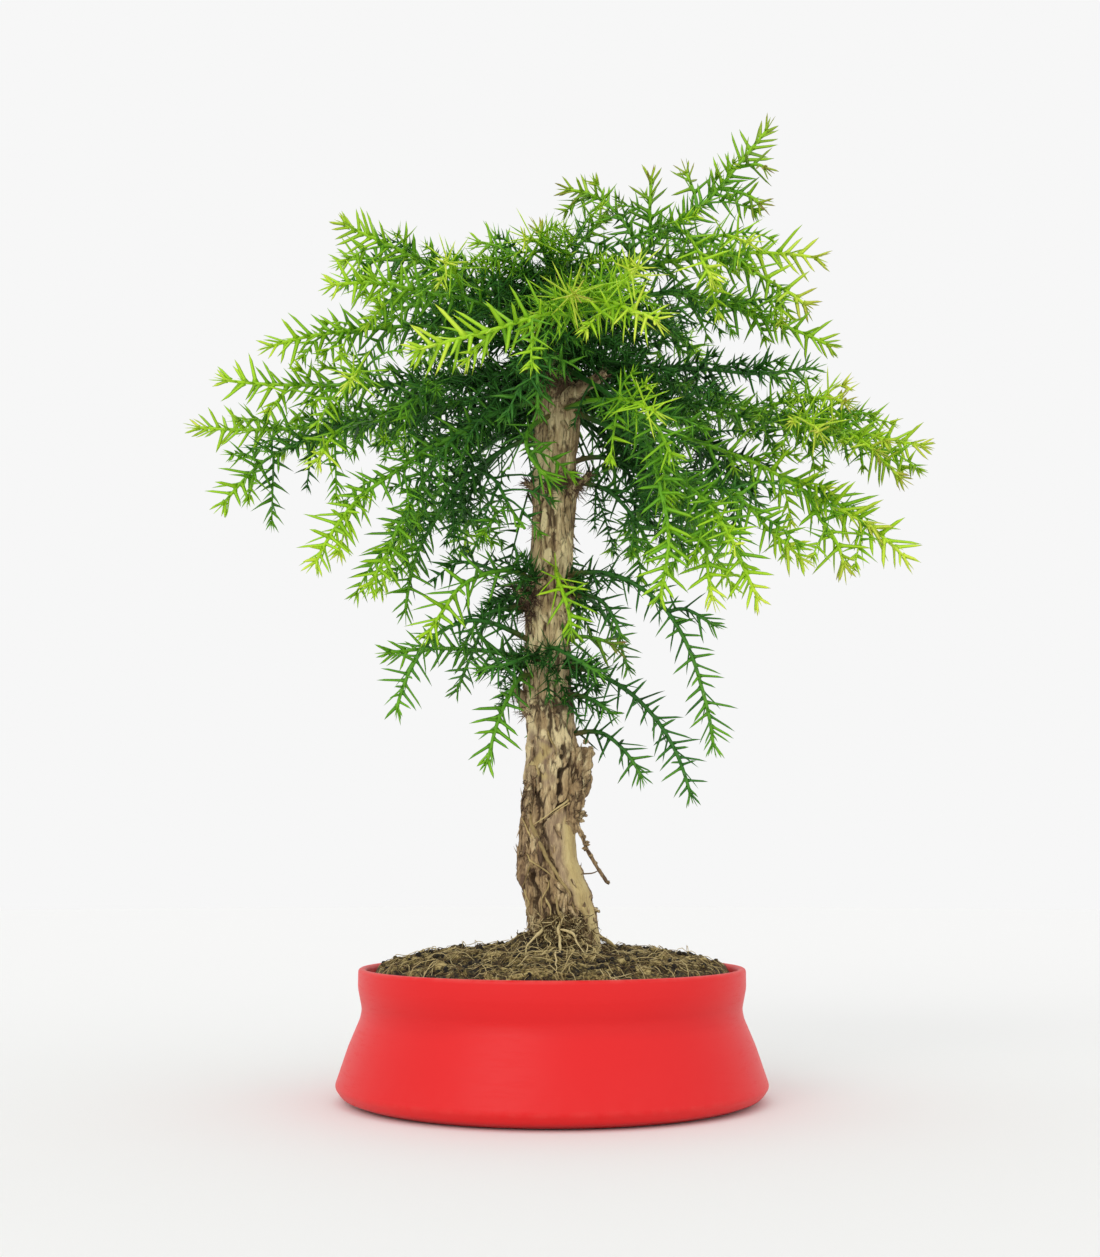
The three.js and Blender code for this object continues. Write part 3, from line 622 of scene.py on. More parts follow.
def red_plastic(settings):
    """Satin moulded plastic: a little mottling, painted shade in the hollow of the waist and under
    the foot, paler along the rim and the skirt's corner, which is rubbed wear and a painted
    highlight, with faint turning lines and fine scratches."""
    f = Finish("red_plastic")
    place, z = f.where(), f.height()
    cloud = f.speckle(place, 60, 3)
    # Painted shade: a darker red in the hollow of the waist and under the foot.
    waist = z.between(0.040, 0.050) * (1 - z.between(0.054, 0.066))
    foot = 1 - z.between(0.001, 0.006)
    low = waist * 0.28 + foot * 0.7 + (cloud - 0.5) * 0.35
    base = f.mix(low.between(0.0, 1.0), settings.red, settings.deep_red)
    # Paler along the rim and the skirt's corner: rubbed wear, and a painted highlight.
    rubbed_and_highlit = f.mark("edge") * f.speckle(place, 9, 5).between(0.3, 0.75)
    base = f.mix(rubbed_and_highlit * 0.6, base, settings.worn)
    grain = f.speckle(place, 1.1, 3)
    scratches = f.speckle(f.where((1, 1, 9)), 14, 6, 0.7).between(0.52, 0.6)
    lines = f.speckle(f.where((0.02, 0.02, 1)), 3, 2)
    height = grain * 0.3 + lines * 0.5 + scratches * 0.2
    shine = 0.36 + cloud * 0.08 + scratches * 0.05 + rubbed_and_highlit * 0.15
    return f.shade(base, shine, height, 0.05, 0.22)


class BONSAI_OT_pot(Operator):
    """Make the moulded pot with its drain holes"""

    bl_idname = "bonsai.pot"
    bl_label = "Pot"

    def execute(self, context):
        settings = context.scene.bonsai.pot
        pot = make_piece("pot_red", pot_shape(settings), red_plastic(settings), "pot", "pot")
        drill_drains(pot)
        return {"FINISHED"}


# Soil

SOIL_SIDE = [(60, 5.3), (117.2, 5.3), (121.1, 11), (113.6, 31), (106.1, 52)]
SOIL_TOP = [(0, 88), (20, 86.5), (40, 84), (60, 82.5), (88, 79), (102, 75), (106.2, 68)]
SOIL_SIDES, SOIL_RINGS = 220, 110
TRUNK_FOOT = 6.5  # how far to the right of the middle the trunk stands


def flat(x, y):
    return np.stack([x, y, np.zeros_like(x)], axis=-1)


def mound(x, y):
    """Height of the soil's broad form at a place, by its distance from the middle."""
    return np.interp(np.hypot(x, y), *np.transpose(SOIL_TOP))


def soil_height(x, y, clods):
    """Height of the soil at a place: the mound, a collar against the trunk's left side, two waves
    that bend each other, and noise of five sizes, all but the first two fading out to the pot's
    wall and to the trunk."""
    r, near = np.hypot(x, y), np.hypot(x - TRUNK_FOOT, y)
    collar = (1.6 - 5.4 * (x - TRUNK_FOOT) / np.maximum(near, 1)) * smooth(38 - near, 0, 14)
    waves = 1.2 * np.sin(x * 0.31 + 1.7 * np.sin(y * 0.17)) + np.sin(y * 0.37 + 1.3 * np.sin(x * 0.21))
    lumps = rough(flat(x, y), 11, 4, 5) + 0.6 * np.abs(noise(flat(x, y), 3.2, 21))
    calm = smooth(112 - r, 5, 16) * (0.3 + 0.7 * smooth(near, 22, 44))
    return mound(x, y) + collar + (0.8 * waves + clods * lumps) * calm


def soil_shape(clods):
    """A grid turned round the Z axis: flat rings up the pot's wall, and then rings that close
    over the mound, at the height of the soil. The mark is how far a point stands above the
    mound, less a shadow in front of the trunk's foot."""
    top = turned([(r, 0) for r in np.linspace(106.2, 1.0, SOIL_RINGS)], SOIL_SIDES)
    x, y = top[..., 0], top[..., 1]
    top[..., 2] = soil_height(x, y, clods)
    ahead = 0.5 - 0.5 * y / np.maximum(np.hypot(x, y), 1)
    shadow = bell(np.hypot(x - TRUNK_FOOT, y) - 24, 15) * ahead
    # A low lift is coloured dark: painted shade in the hollows and the painted shadow in front of the
    # trunk's foot.
    lift = np.clip(top[..., 2] - mound(x, y), -3, 3) / 6 + 0.5 - 0.8 * shadow
    side = turned(SOIL_SIDE, SOIL_SIDES)
    lift = np.concatenate([np.full(side.shape[:3], 0.2), lift], axis=1)
    return closed_tubes(np.concatenate([side, top], axis=1), lift=lift)


def scattered(count, reach, seed):
    """Places spread evenly over a disc, clear of the trunk's foot."""
    random = np.random.default_rng(seed)
    r, angle = reach * np.sqrt(random.random(count)), tau * random.random(count)
    x, y = r * np.cos(angle), r * np.sin(angle)
    clear = np.hypot(x - TRUNK_FOOT, y) > 17
    return x[clear], y[clear], random


def fibre_shape(settings):
    """Dry strands on the soil. Each follows a line of random length and direction with a sideways
    bow, at the soil's height, and lifts off it in its middle. One in thirty is a pale hoop, which
    is shorter and stands higher. Thin closed tubes."""
    x, y, random = scattered(settings.fibres, 101, 7)
    count = len(x)
    turn = tau * random.random(count)
    hoop = random.random(count) < 0.035
    length = np.where(hoop, 14 + 16 * random.random(count), 7 + 40 * random.random(count) ** 2.2)
    t = np.linspace(-0.5, 0.5, 7)
    bow = (random.random(count) - 0.5) * 0.5
    along = t * length[:, None]
    aside = (0.25 - t**2) * (bow * length)[:, None] + 0.35 * np.sin(9 * t + turn[:, None])
    px = x[:, None] + along * np.cos(turn)[:, None] - aside * np.sin(turn)[:, None]
    py = y[:, None] + along * np.sin(turn)[:, None] + aside * np.cos(turn)[:, None]
    r = np.maximum(np.hypot(px, py), 1)
    px, py = (p * np.minimum(1, 105 / r) for p in (px, py))
    rise = np.where(hoop, 2.5 + 4 * random.random(count), 0.2 + 1.5 * random.random(count) ** 2)
    pz = soil_height(px, py, settings.clods / MM) + (0.25 - t**2) * 4 * rise[:, None] + 0.1
    thick = np.where(hoop, 0.24, 0.13 + 0.18 * random.random(count) ** 2)
    radii = thick[:, None] * np.array([0.5, 0.85, 1, 1, 1, 0.85, 0.4])
    hue = np.where(hoop, 0.85, 1.15 * random.random(count) ** 2)
    return closed_tubes(round_rings(np.stack([px, py, pz], axis=-1), radii, 3), lift=hue)


def balls(centres, sizes, random, rings, sides, knock=0.3, **marks):
    """Rough balls of a few rings of points, a little squashed, each point of which is moved in
    or out by up to a share of the radius."""
    turn = np.radians(np.linspace(-55, 55, rings))
    ball = turned(np.stack([np.cos(turn), np.sin(turn)], axis=-1), sides)[0]
    points = ball * sizes[:, None, None, None] * (1, 1, 0.8)
    points = points * (1 + knock * (2 * random.random(points.shape[:3]) - 1))[..., None]
    poles = centres[:, None] + np.array([[0, 0, -0.85], [0, 0, 0.85]]) * sizes[:, None, None]
    return closed_tubes(points + centres[:, None, None], poles, **marks)


def crumb_shape(settings):
    """Crumbs of peat, half sunk in the soil."""
    x, y, random = scattered(settings.crumbs, 100, 19)
    sizes = 0.7 + 1.6 * random.random(len(x)) ** 2
    centres = np.stack([x, y, soil_height(x, y, settings.clods / MM) + 0.2 * sizes], axis=-1)
    return balls(centres, sizes, random, 3, 5, lift=0.6 * random.random(len(x)))


def peat(settings):
    """Fibrous peat: darker in the hollows between the clods, which is painted shade, as is the
    dark ground in front of the trunk's foot, and browner on the clods, with pale fibres and grains.
    """
    f = Finish("peat")
    place = f.where()
    lift = f.mark("lift")
    patch = f.speckle(place, 22, 5, 0.6)
    grain = f.speckle(place, 1.6, 5, 0.7)
    crumbly = f.speckle(place, 5, 5, 0.65).between(0.36, 0.6)
    # The lift darkens the hollows and the ground in front of the trunk: painted shade.
    tone = lift + patch.between(0.3, 0.7) * 0.44 + grain.between(0.3, 0.7) * 0.66 + crumbly * 0.34 - 0.95
    base = f.ramp(
        tone, (0.14, settings.dark), (0.42, settings.brown), (0.62, "#877540"), (0.9, settings.straw)
    )
    hairs = 1 - f.speckle(f.where((1, 0.12, 1)), 2.2, 3).between(0.3, 0.42)
    others = 1 - f.speckle(f.where((0.12, 1, 1)), 2.2, 3).between(0.3, 0.42)
    base = f.mix((hairs + others) * 0.22, base, settings.straw)
    height = grain * 0.7 + crumbly * 0.7 + hairs * 0.25 + others * 0.25
    return f.shade(base, 0.88 + grain * 0.12, height, 1.2)


def dry_strands(settings):
    """Strands of straw and root: each has its own brown, with fine mottling."""
    f = Finish("dry_strands")
    hue = f.mark("lift")
    mottle = f.speckle(f.where(), 2.5, 4)
    stops = (0.05, "#251a0d"), (0.38, "#6f5833"), (0.7, settings.straw), (1.0, "#d2bf8d")
    base = f.ramp(hue * 0.75 + mottle * 0.3, *stops)
    return f.shade(base, 0.8 + mottle * 0.15, mottle, 0.15)


class BONSAI_OT_soil(Operator):
    """Make the mound of peat with the strands and crumbs that lie on it"""

    bl_idname = "bonsai.soil"
    bl_label = "Soil"

    def execute(self, context):
        settings = context.scene.bonsai.soil
        earth, strands = peat(settings), dry_strands(settings)
        make_piece("soil_mound", soil_shape(settings.clods / MM), earth, "soil", "soil")
        make_piece("soil_strands", fibre_shape(settings), strands, "soil")
        make_piece("soil_crumbs", crumb_shape(settings), earth, "soil")
        return {"FINISHED"}


# Trunk

# Its height, the place of its middle there, and its radius.
TRUNK = np.array(
    [
        (52, 7, 0, 14), (66, 7, 0, 20), (80, 6.5, 0, 21.5), (92, 6.5, 0, 20.6), (104, 6, 0.5, 20),
        (116, 3.5, 1, 19.5), (128, -0.5, 2, 18.8), (140, -2.3, 3, 17.2), (156, -2, 4, 16.4),
        (170, 0, 4, 16.8), (184, 1.5, 3, 16.4), (198, 2, 2, 16.2), (212, -0.5, 1, 14.8),
        (232, -3, 0, 14.2), (256, -3, -1, 14.4), (272, -3, -2, 13.2), (296, -2, -2, 14.2),
        (312, -1, -2, 13.2), (336, 0.3, -1, 13), (352, 1.6, 0, 13.1), (364, 2.1, 1, 14.6),
        (376, 2.4, 1, 12.9), (408, 3.9, 2, 13.2), (424, 4.8, 2, 13.4), (434, 2, 2, 9.6),
        (446, 0, 1, 6.4), (462, -0.5, 0, 5.4), (482, -1, 0, 4.4), (502, 0, 0, 3),
    ]
)  # fmt: skip
TRUNK_SIDES, TRUNK_RINGS = 150, 490
LIMB_SIDES, LIMB_RINGS = 18, 40

# Stubs, the lifted bark and its strips: a line of points, the radii of its two ends, how rough
# it is, and how pale.
STUBS = [
    ([(7, -8, 416), (18, -16, 422), (33, -22, 429)], 4.8, 3.0, 0.24, 0.1),
    ([(8, -2, 362), (16, -6, 364), (24, -8, 371)], 3.8, 1.6, 0.3, 0.1),
    ([(-8, -3, 363), (-13, -7, 363), (-17, -9, 365)], 3.2, 1.2, 0.3, 0.1),
    ([(-8, -4, 294), (-17, -8, 294), (-23, -10, 301)], 4.6, 1.6, 0.3, 0.1),
    ([(-8, -3, 223), (-15, -5, 230), (-22, -7, 239)], 5.2, 2.8, 0.34, 0.4),
]
FLAPS = [
    ([(8, -4, 154), (12.5, -7, 168), (17.5, -8, 184), (18.5, -7, 195), (20.5, -6, 204)], 4.6, 4.8, 0.5, 0.1),
    ([(-10, -6, 192), (-14, -10, 176), (-15.5, -9, 162)], 3.2, 1.7, 0.45, 0.3),
]
STRIP = (
    [(10, -8, 166), (14, -9, 158), (18.5, -9, 150), (21, -9, 143), (28, -9, 131), (33.5, -9, 123)],
    1.5, 0.9, 0.6, 0.2,
)  # fmt: skip
# Lumps of bark dust and moss that cling to the flap, to its strip and to the trunk's edges: a
# place and a radius.
LUMPS = [
    (16, -8, 163, 2.6), (18.3, -8, 165, 1.9), (16, -8, 168.5, 2.4), (17.5, -8, 160.5, 1.5),
    (20, -8, 163.5, 1.0), (18.3, -9, 151, 1.8), (20.3, -9, 147, 2.1), (19.6, -9, 144, 1.6),
    (23, -9, 140, 1.3), (25.5, -9, 135.5, 1.2), (33, -9, 124.5, 1.2), (25.5, -5, 108.5, 1.7),
    (27.3, -5, 107.5, 1.1), (-13.8, -7, 111, 1.1), (-14.2, -7, 106, 1.3), (-13.5, -7, 95, 1.8),
    (-15.5, -6, 183, 1.8), (-14.8, -7, 179, 1.5), (23, -7, 203, 1.9), (20, -9, 207, 1.8),
    (-16.5, -6, 158, 1.4), (-17.5, -6, 141, 1.5), (-17.2, -6, 128, 1.3), (-14.5, -6, 188, 1.3),
    (22.2, -8, 189, 1.4),
]  # fmt: skip
# Surface roots: direction from the trunk in degrees, how far they reach, and their radius.
ROOTS = [(52, 44, 3), (92, 42, 3.4), (138, 44, 2.8)]
# Lines on the trunk, each from one direction and height to another, with half the width and the
# height, which is negative for a fissure and positive for a rib. A fissure is coloured dark, which
# is painted shade.
FOLDS = [
    (280, 190, 279, 177, 1.3, -4.6), (281, 189, 300, 193, 1.3, -2.8), (300, 193, 314, 200, 1.2, -2.6),
    (292, 204, 288, 198, 1.7, -3), (238, 128, 220, 104, 2, -5), (211, 182, 242, 171, 1.9, -4.6),
    (236, 192, 233, 176, 1, -2.2), (245, 168, 250, 148, 1.2, -2.8), (322, 184, 312, 160, 1.8, -3.2),
    (254, 158, 283, 131, 1.2, -2), (283, 131, 296, 108, 1.2, -2), (296, 108, 320, 96, 1.3, -2),
    (256, 108, 260, 86, 4.2, -3.8), (276, 103, 282, 84, 4, -3.4), (206, 160, 214, 132, 1.3, -2.4),
    (270, 222, 262, 204, 1.6, -1.8), (328, 177, 288, 169.5, 1.1, -1.8),
    (288, 169.5, 256, 158, 1.1, -1.8), (222, 140, 262, 130, 1, -1.5), (264, 126, 242, 112, 1, -1.5),
    (60, 192, 75, 116, 3, -3.6), (118, 184, 108, 94, 3, -4.2), (172, 214, 158, 150, 2.4, -3),
    (20, 236, 32, 168, 2.4, -3), (150, 120, 146, 88, 2.6, -3.4), (40, 122, 24, 90, 2.6, -3.4),
    (226, 178, 244, 150, 3, 1.9), (250, 146, 232, 132, 3, 1.8), (246, 126, 240, 100, 3.2, 2),
    (196, 204, 212, 108, 4, 2.4), (88, 210, 92, 120, 7, 1.8), (312, 222, 338, 176, 5, 1.8),
    (284, 344, 276, 322, 1.6, -1.3), (250, 332, 262, 300, 1.6, -1.4), (226, 290, 240, 250, 1.6, -1.4),
    (300, 262, 290, 226, 1.6, -1.5),
]  # fmt: skip
# Pale, thin plates: direction, height, half of each side, and how pale.
PLATES = [
    (244, 340, 2.2, 8.5, 1), (262, 318, 3, 5, 0.9), (238, 312, 2, 5, 0.9), (229, 269, 4, 10, 1),
    (305, 267, 3.5, 9, 0.9), (305, 243, 1.5, 3.5, 0.8), (315, 314, 1, 8, 0.8), (324, 231, 1.2, 8, 0.9),
    (238, 147, 2.8, 5.2, 1), (256, 135, 1.5, 1.5, 0.8), (292, 395, 2, 9, 0.7), (250, 384, 1.8, 8, 0.6),
    (283, 352, 1.6, 5, 0.7), (222, 246, 2, 5, 0.7), (278, 282, 1.4, 6, 0.6), (252, 206, 3, 9, 0.8),
    (302, 212, 2.2, 6, 0.7), (226, 120, 1.4, 4, 0.7), (262, 92, 1.6, 4, 0.6),
]  # fmt: skip
# The left edge of the smooth bark on the lower right: its direction at a few heights.
SMOOTH_EDGE = [(78, 316), (90, 322), (97, 320), (108, 296), (118, 288), (131, 283), (157, 255), (172, 262)]
WHORLS = (228, 297, 364, 424)  # heights of the rings that old whorls of branches left


def trunk_at(z):
    """The place of the trunk's middle and its radius at a height, eased between stations."""
    i = np.clip(np.searchsorted(TRUNK[:, 0], z, side="right"), 1, len(TRUNK) - 1)
    low, high = TRUNK[i - 1], TRUNK[i]
    t = smooth(z, low[..., 0], high[..., 0])[..., None]
    return np.moveaxis(lerp(low[..., 1:], high[..., 1:], t), -1, 0)


def bark_relief(angle, z):
    """Share by which the trunk's broad ribs stand out: three waves that wind round it."""
    strength = lerp(0.045, 0.02, np.clip((z - 90) / 150, 0, 1))
    waves = np.sin(3 * angle + z / 34) + 0.7 * np.sin(5 * angle - z / 21) + 0.5 * np.sin(2 * angle + z / 9)
    return 1 + strength * waves


def ribbed(angle, z):
    """The trunk's radius at a direction and a height, with its broad ribs."""
    return trunk_at(z)[2] * bark_relief(angle, z)


def round_trunk(angle, z, radius):
    """The points at a radius from the trunk's curved middle line."""
    x, y, _ = trunk_at(z)
    return np.stack([x, y, z], axis=-1) + outward(angle) * np.asarray(radius)[..., None]


def off_line(angle, z, r, start, low, end, high):
    """Distance in millimetres on the bark from a wavering line between two directions, each at
    its own height."""
    t = np.clip((z - low) / (high - low), 0, 1)
    middle = np.radians(lerp(start, end, t)) + 0.045 * np.sin(z / 5.5) + 0.035 * np.sin(z / 2.3)
    return np.hypot(wrapped(angle - middle) * r, z - lerp(low, high, t))


def smooth_wood(angle, z, r):
    """The share of smooth wood: the lower right of the trunk, up to its wavering left edge, and
    a bare plate at the left above it."""
    edge = np.radians(np.interp(z, *np.transpose(SMOOTH_EDGE))) + 0.05 * np.sin(z / 2.7)
    wood = smooth((angle - edge) * r, -0.3, 2) * (1 - smooth(angle, radians(338), radians(356)))
    wood *= smooth(z, 76, 82) * (1 - smooth(z, 160, 171))
    plate = bell((angle - radians(236)) * r / 8 + 0.5 * np.sin(z / 3))
    return np.maximum(wood, plate * smooth(z, 174, 190) * (1 - smooth(z, 198, 222)))


def bark_height(angle, z, settings):
    """How far the bark stands off the trunk's broad form, and three marks of it.

    Folds are bell curves across their lines. The rest is long scales of irregular cells, whose
    edges sink, with noise of five sizes, less of it on smooth wood, and lumpy rings at the old
    whorls. The marks are how deep a point lies, which darkens the joints between the scales and
    paints shade in the folds and among the whorls' lumps, how smooth and tan the wood is, and how
    pale it has worn, less a painted shade, and darker crust, along the trunk's left and right sides.
    """
    r = ribbed(angle, z)
    here = round_trunk(angle, z, r)
    width = settings.scale_width / MM
    warp = noises(here, 9, 60)
    gap, number = scales((here + 2.2 * warp) * (1, 1, 0.13), width, 3)
    thin_gap, thin = scales((here + 1.6 * warp) * (1, 1, 0.2), width * 0.4, 9)
    fold = sum(height * bell(off_line(angle, z, r, *line), half) for *line, half, height in FOLDS)
    wood = smooth_wood(angle, z, r)
    scale = smooth(gap, 0.02, 0.2) * (0.3 + 0.5 * number)
    shed = smooth(noise(here * (1, 1, 0.4), 16, 31), 0.05, 0.5)
    bark = settings.scale_height / MM * (scale * (1 - 0.55 * shed) - 0.45)
    bark += 0.5 * smooth(thin_gap, 0.03, 0.3) * thin + 0.6 * rough(here * (1, 1, 0.24), 2.8, 4, 41)
    bark *= lerp(0.72, 1.25, 1 - smooth(z, 150, 330))
    ring = sum(bell(z - height, 4.5) for height in WHORLS)
    lump = ring * (0.9 + 1.4 * noise(here, 3.4, 51))
    height = bark * (1 - 0.85 * wood) + fold + lump + 0.8 * wood

    blotch = smooth(noise(here * (1, 1, 0.3) + 1.2 * warp, 8, 33), 0.3, 0.42)
    blotch = blotch * (0.3 + 0.5 * smooth(z, 150, 240))
    for direction, middle, wide, high, amount in PLATES:
        around = wrapped(angle - radians(direction)) * r / wide
        apart = np.hypot(around + 0.25 * warp[..., 0], (z - middle) / high + 0.25 * warp[..., 1])
        blotch = np.maximum(blotch, amount * (1 - smooth(apart, 0.8, 1.1)))
    # Dark in the joints between the scales; painted shade in the folds and among the lumps of the whorl
    # rings.
    deep = 0.6 * (1 - smooth(gap, 0.0, 0.14)) + 0.3 * (1 - smooth(thin_gap, 0.0, 0.14))
    deep = deep * (1 - wood) + 1.2 * smooth(-fold, 0.5, 2.0)
    deep = np.clip(deep + 0.85 * ring * smooth(noise(here, 4, 57), -0.7, 0.2), 0, 1)
    # Painted shade along the trunk's left and right sides above 215 mm, which also stands for darker crust
    # there.
    crust_and_side_shade = smooth(np.abs(np.cos(angle)), 0.8, 0.97) * smooth(z, 215, 240)
    pale = 0.25 * shed * (0.6 + 0.4 * number) + 0.4 * (0.6 * number + 0.4 * thin)
    pale = np.maximum(pale, blotch) - 0.42 * crust_and_side_shade
    tan = np.maximum(smooth(angle, radians(284), radians(314)), smooth(z, 176, 184))
    return height + 0.35 * blotch, deep * (1 - 0.8 * blotch), wood * (0.5 + 0.5 * tan), pale


def bark_shape(settings):
    """A grid of direction and height round the trunk's curved middle line: the radius is the
    trunk's, times its broad ribs, plus the bark's height. It is closed by a pole at each end."""
    z = np.linspace(TRUNK[0, 0], TRUNK[-1, 0], TRUNK_RINGS)[:, None] + np.zeros(TRUNK_SIDES)
    angle = circle(TRUNK_SIDES) + np.zeros_like(z)
    height, deep, wood, shed = bark_height(angle, z, settings)
    radius = ribbed(angle, z) + height * smooth(trunk_at(z)[2], 1.5, 12)
    rings = round_trunk(angle, z, radius)[None]
    return closed_tubes(rings, deep=deep[None], wood=wood[None], shed=shed[None])


def limb_shape(points, foot, head, roughness, pale, seed):
    """A gnarled tube along a smooth line: the radius runs from foot to head, times one plus
    noise of four sizes, and ends in a blunt dome."""
    line = through(points, LIMB_RINGS)[None]
    u = np.linspace(0, 1, LIMB_RINGS)
    dome = np.sqrt(np.clip(1 - ((u - 0.94) / 0.06).clip(0, 1) ** 2, 0.04, 1))
    rings = round_rings(line, (lerp(foot, head, u) * dome)[None], LIMB_SIDES)
    middle = line[:, :, None]
    lumps = rough(rings * (1, 1, 0.5), max(2.6, 0.7 * foot), 4, 70 + seed)
    rings = middle + (rings - middle) * (1 + roughness * lumps)[..., None]
    # Darker where the lumps sink: painted shade in the hollows.
    deep = np.clip(0.5 - 0.8 * pale - 0.6 * lumps, 0, 1)
    return closed_tubes(rings, deep=deep, wood=pale, shed=0.3)


def root_line(direction, reach):
    """Points of a surface root: out of the trunk's foot, over the soil and down into it."""
    x, _, _ = trunk_at(np.array(90.0))
    c, s = np.cos(radians(direction)), np.sin(radians(direction))
    outwards = [(10, 98), (20, 90.5), (reach * 0.72, 86.5), (reach, 77)]
    return [(x + d * c, d * s, z) for d, z in outwards]


# Thin roots that cross the bark, each through a few (direction, height), with their radius and
# tint.
STRINGS = [
    ([(216, 171), (236, 159), (252, 149), (269, 137), (286, 125), (292, 116), (298, 108), (312, 100),
      (320, 94)], 1.2, 0.5),
    ([(335, 178), (305, 173), (284, 168), (262, 163), (246, 159.5), (236, 156)], 0.62, 0.9),
    ([(330, 176), (300, 170), (268, 163)], 0.4, 0.75),
    ([(222, 141), (240, 136), (264, 130), (286, 124)], 0.7, 0.6),
    ([(238, 135), (222, 127), (203, 118)], 0.5, 0.45),
    ([(265, 126), (254, 120), (242, 114), (240, 106)], 0.5, 0.6),
    ([(212, 120), (220, 112), (200, 103)], 0.7, 0.6),
    ([(248, 116), (252, 108), (240, 99)], 0.6, 0.8),
    ([(240, 150), (214, 160), (208, 170), (216, 180)], 0.5, 0.7),
    ([(262, 214), (272, 204), (270, 196)], 0.55, 0.5),
    ([(120, 190), (98, 160), (84, 128), (70, 98)], 0.8, 0.5),
    ([(52, 176), (78, 150), (110, 122)], 0.5, 0.7),
]  # fmt: skip
# Roots that leave the bark, through a few points, with their radius and tint.
FREE_ROOTS = [
    ([(17, -7, 129), (24, -10, 130), (29, -9, 132.5)], 0.45, 0.2),
    ([(-5, -20, 99), (-8, -24, 95), (-12, -28, 91), (-15, -33, 87), (-15, -42, 84)], 1.0, 1.0),
    ([(2.5, -19, 116), (3.4, -22.5, 109), (6, -23, 103), (4, -25, 98)], 0.9, 0.5),
    ([(5, -23, 101), (3.2, -25.5, 97), (4.6, -28, 91), (4.4, -40, 85), (2, -68, 82),
      (2.5, -92, 77.5)], 1.15, 1.0),
    ([(4, -25, 98), (8, -26, 97), (12, -27, 94.5), (15, -31, 89), (18.5, -36, 85)], 0.95, 1.05),
    ([(2, -31, 88), (-5, -48, 84.5), (-14, -66, 82), (-24, -92, 77)], 0.65, 0.9),
    ([(16, -21, 93), (18, -24, 90), (24, -27, 87), (25, -38, 83)], 0.6, 0.8),
    ([(12, -36, 86), (20, -46, 84), (28, -50, 83.5)], 0.6, 0.85),
    ([(-3, -22, 96), (-4.5, -27, 93), (-1, -31, 90), (-3, -38, 86)], 0.5, 0.75),
    ([(22, 12, 97), (30, 18, 91), (38, 25, 85), (44, 34, 78)], 1.5, 0.8),
    ([(-4, 20, 98), (-8, 29, 91), (-10, 38, 86), (-16, 47, 79)], 1.5, 0.75),
    ([(12, 22, 97), (15, 30, 91), (14, 40, 86), (18, 50, 79)], 1.2, 0.85),
]  # fmt: skip


def shaded_fringe_shape(seed=23, count=1050):
    """Fine rootlets in a dark tangle at the trunk's foot, some of them pale, whose dark browns also
    paint the shade among the roots there: short quadratic curves in any direction, the further out
    from the bark the lower they lie."""
    random = np.random.default_rng(seed)
    at_front = random.random(count) < 0.8
    z = 84 + np.where(at_front, 21, 8) * random.random(count) ** 1.2
    ahead = radians(264) + 0.42 * random.normal(size=count)
    angle = np.where(at_front, ahead, tau * random.random(count))
    spread = np.where(at_front, 0.5, 0.3) * (105 - z).clip(2) * random.random(count)
    centres = round_trunk(angle, z, ribbed(angle, z) + 0.4 + spread)
    long = (3 + 9 * random.random(count) ** 2)[:, None]
    ways = 0.5 * long * unit(random.normal(size=(count, 3)) * (1, 1, 0.9))
    middles = centres + 0.22 * long * random.normal(size=(count, 3))
    lines, _ = arches(centres - ways, middles, centres + ways, 7)
    thick = 0.16 + 0.3 * random.random(count) ** 2
    rings = round_rings(lines, thick[:, None] * np.linspace(1, 0.5, 7), 4)
    pale = at_front & (random.random(count) < 0.3)
    # Mostly dark browns, which also paint the shade among the roots at the trunk's foot.
    hue = np.where(pale, 0.8 + 0.3 * random.random(count), 0.4 * random.random(count) ** 2)
    return closed_tubes(rings, lift=hue)


def on_bark(lines, settings):
    """Lines of (direction, height) laid on the bark: out from the trunk's middle by its radius
    and the bark's height, which is averaged along the line so that it bridges the cracks."""
    angle, z = np.radians(lines[..., 0]), lines[..., 1]
    height, *_ = bark_height(angle, z, settings)
    padded = np.pad(height, ((0, 0), (3, 3)), mode="edge")
    level = sum(padded[:, i : i + height.shape[1]] for i in range(7)) / 7
    return round_trunk(angle, z, ribbed(angle, z) + np.maximum(level, height - 0.2) + 0.7)


def string_shape(rows, clods, settings, steps=36):
    """Thin tubes through given points, or laid on the bark where these are (direction, height).
    They waver a little, don't sink into the soil, and have their own tint."""
    given, radii, hues = zip(*rows)
    radii, hues = np.array(radii)[:, None], np.array(hues)[:, None]
    lines = np.stack([through(points, steps) for points in given])
    if lines.shape[2] == 2:
        lines = on_bark(lines, settings)
    else:
        x, y, z = np.moveaxis(lines, -1, 0)
        soil = soil_height(x, y, clods) + 0.55 * radii + 0.45
        lines[..., 2] = np.where(z < 90, np.maximum(z, soil), z)
    lines = lines + (0.2 + 0.7 * hues[..., None]) * noises(lines, 6, 80)
    ends = np.interp(np.linspace(0, 1, steps), [0, 0.12, 0.6, 1], [0.4, 1, 0.7, 0.2])
    radii = radii * ends * (1 + 0.4 * rough(lines, 4, 2, 90))
    return closed_tubes(round_rings(lines, radii, 8), lift=hues)


